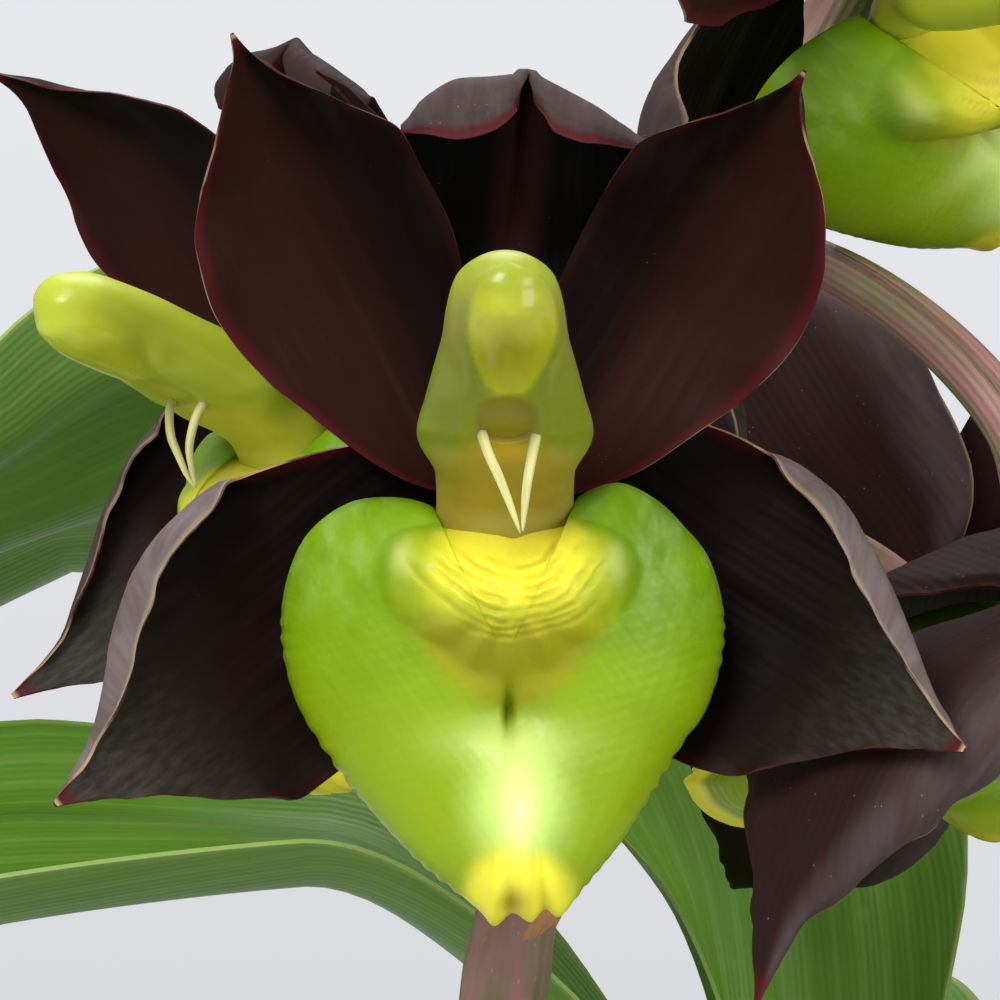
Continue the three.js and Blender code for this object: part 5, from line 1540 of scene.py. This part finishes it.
class OrchidAddPot(bpy.types.Operator):
    """Models the clay pot with its rim and drainage holes"""

    bl_idname = "orchid.add_pot"
    bl_label = "Pot"

    def execute(self, context):
        base, neck, rim, wall, top = (POT[key] for key in ("base", "neck", "rim", "wall", "height"))
        foot = top - POT["rim_height"]
        outline = [(2, 0), (base - 1.2, 0), (base - 0.3, 0.4), (base, 1.3), (neck, foot - 0.4),
                   (neck + 0.5, foot), (rim - 1.6, foot), (rim - 0.4, foot + 0.6), (rim, foot + 2),
                   (rim, top - 1.8), (rim - 0.5, top - 0.5), (rim - 1.8, top), (rim - wall + 0.3, top),
                   (rim - wall - 0.6, top - 0.4), (rim - wall - 1, top - 1.2), (neck - wall + 1, foot),
                   (base - wall, POT["floor"]), (2, POT["floor"])]
        alone()
        bpy.ops.mesh.primitive_circle_add(vertices=112, radius=outline[0][0] * MM, fill_type="NGON")
        pot = bpy.context.object
        bpy.ops.object.mode_set(mode="EDIT")
        bpy.ops.mesh.select_mode(type="EDGE")
        bpy.ops.mesh.select_all(action="SELECT")
        for before, after in zip(outline, outline[1:]):
            rise = (after[1] - before[1]) * MM
            bpy.ops.mesh.extrude_edges_move(TRANSFORM_OT_translate={"value": (0, 0, rise)})
            share = after[0] / before[0]
            bpy.ops.transform.resize(value=(share, share, 1))
        bpy.ops.mesh.edge_face_add()
        bpy.ops.mesh.select_all(action="SELECT")
        bpy.ops.mesh.normals_make_consistent(inside=False)
        bpy.ops.object.mode_set(mode="OBJECT")
        circle = POT["hole_circle"] * MM
        hole = POT["hole"] * MM
        for k in range(POT["holes"]):
            turn = 2 * math.pi * k / POT["holes"]
            place = (circle * math.cos(turn), circle * math.sin(turn), 0)
            alone()
            bpy.ops.mesh.primitive_cylinder_add(vertices=32, radius=hole, depth=0.03, location=place)
            drain = bpy.context.object
            alone(pot)
            cut = pot.modifiers.new("Drain", "BOOLEAN")
            cut.operation = "DIFFERENCE"
            cut.solver = "EXACT"
            cut.object = drain
            bpy.ops.object.modifier_apply(modifier="Drain")
            bpy.data.objects.remove(drain)
        give(pot, clay_skin(context.scene.orchid_pot))
        smooth(pot, 40)
        settle(pot, "clay_pot", "pot")
        return {"FINISHED"}


class OrchidAddStage(bpy.types.Operator):
    """Lays the floor, sets the lights and the camera"""

    bl_idname = "orchid.add_stage"
    bl_label = "Stage"

    def execute(self, context):
        settings = context.scene.orchid_stage
        scene = context.scene
        alone()
        bpy.ops.mesh.primitive_circle_add(vertices=160, radius=settings.floor_radius, fill_type="NGON")
        floor = context.object
        floor.name = "floor"
        pale = Finish("Pale floor", roughness=0.9, specular=0.1, kind="Object")
        where = pale.where()
        cloud = pale.ramp(pale.noise(where, 3, 2), 0.2, 0.8, 0, 0.12)
        pale.base = pale.mix(cloud, settings.floor, settings.below)
        reach = pale.node("VectorMath", "Value", {0: where}, operation="LENGTH")
        pale.set("Emission Color", settings.below)
        pale.set("Emission Strength", pale.ramp(reach, 0.25, 1.7, 0, 0.62))
        give(floor, pale.done())
        scene.world = bpy.data.worlds.new("studio")
        sky = Nodes(scene.world, "Background")
        level = sky.node("SeparateXYZ", "Z", {0: sky.node("TexCoord", "Generated")})
        share = sky.node("MapRange", "Result", {"Value": level, "From Min": -0.1, "From Max": 0.1})
        sky.set("Color", sky.mix(share, settings.below, settings.above))
        sky.set("Strength", sky.sum("MULTIPLY_ADD", sky.node("LightPath", "Is Camera Ray"), 0.45, 0.55))
        hero = Vector(HERO) * MM
        for name, place, size, watts in (("key light", (-0.35, -0.75, 0.75), 0.5, 9),
                                         ("fill light", (0.7, -0.5, 0.45), 0.5, 4),
                                         ("top light", (0, 0.3, 1.1), 0.7, 9)):
            data = bpy.data.lights.new(name, "AREA")
            data.size = size
            data.energy = watts
            lamp = bpy.data.objects.new(name, data)
            lamp.location = place
            lamp.rotation_euler = (hero - Vector(place)).to_track_quat("-Z", "Y").to_euler()
            scene.collection.objects.link(lamp)
        camera = bpy.data.objects.new("camera", bpy.data.cameras.new("camera"))
        scene.collection.objects.link(camera)
        camera.location = (hero.x - 0.000275, hero.y - settings.camera_distance, hero.z - 0.00055)
        camera.rotation_euler = (math.pi / 2, 0, 0)
        camera.data.sensor_width = SENSOR
        camera.data.lens = SENSOR * settings.camera_distance / settings.frame_width
        camera.data.clip_start = 0.01
        camera.data.clip_end = 50
        scene.camera = camera
        scene.view_settings.view_transform = "Standard"
        return {"FINISHED"}


class OrchidPanel(bpy.types.Panel):
    """Lists the orchid's pieces with their settings."""

    bl_idname = "ORCHID_PT_pieces"
    bl_label = "Potted orchid"
    bl_space_type = "VIEW_3D"
    bl_region_type = "UI"
    bl_category = "Orchid"

    def draw(self, context):
        for title, name, operators in PANEL_ROWS:
            box = self.layout.box()
            box.label(text=title)
            group = getattr(context.scene, name)
            for key in group.bl_rna.properties.keys():
                if key not in ("rna_type", "name"):
                    box.prop(group, key)
            for operator in operators:
                box.operator(operator)


SETTINGS = {
    "orchid_tepals": OrchidTepalSettings, "orchid_lip": OrchidLipSettings,
    "orchid_column": OrchidColumnSettings, "orchid_stem": OrchidStemSettings,
    "orchid_green": OrchidGreenSettings, "orchid_pot": OrchidPotSettings, "orchid_stage": OrchidStageSettings,
}
PANEL_ROWS = [
    ("Stage", "orchid_stage", ["orchid.add_stage"]),
    ("Pot", "orchid_pot", ["orchid.add_pot"]),
    ("Moss, bulbs and leaves", "orchid_green", ["orchid.add_moss", "orchid.add_bulbs", "orchid.add_leaves"]),
    ("Stem and buds", "orchid_stem", ["orchid.add_stem", "orchid.add_buds"]),
    ("Petals and sepals", "orchid_tepals", ["orchid.add_tepals"]),
    ("Lips", "orchid_lip", ["orchid.add_lips"]),
    ("Columns", "orchid_column", ["orchid.add_columns"]),
]
CLASSES = [*SETTINGS.values(), OrchidAddStage, OrchidAddPot, OrchidAddMoss, OrchidAddBulbs, OrchidAddLeaves,
           OrchidAddStem, OrchidAddBuds, OrchidAddTepals, OrchidAddLips, OrchidAddColumns, OrchidPanel]


def register():
    for item in CLASSES:
        bpy.utils.register_class(item)
    for name, group in SETTINGS.items():
        setattr(bpy.types.Scene, name, PointerProperty(type=group))


def unregister():
    for name in SETTINGS:
        delattr(bpy.types.Scene, name)
    for item in reversed(CLASSES):
        bpy.utils.unregister_class(item)


def main():
    """Models the whole plant."""
    register()
    bpy.ops.orchid.add_stage()
    bpy.ops.orchid.add_pot()
    bpy.ops.orchid.add_moss()
    bpy.ops.orchid.add_bulbs()
    bpy.ops.orchid.add_leaves()
    bpy.ops.orchid.add_stem()
    bpy.ops.orchid.add_buds()
    bpy.ops.orchid.add_tepals()
    bpy.ops.orchid.add_lips()
    bpy.ops.orchid.add_columns()


if __name__ == "__main__":
    main()
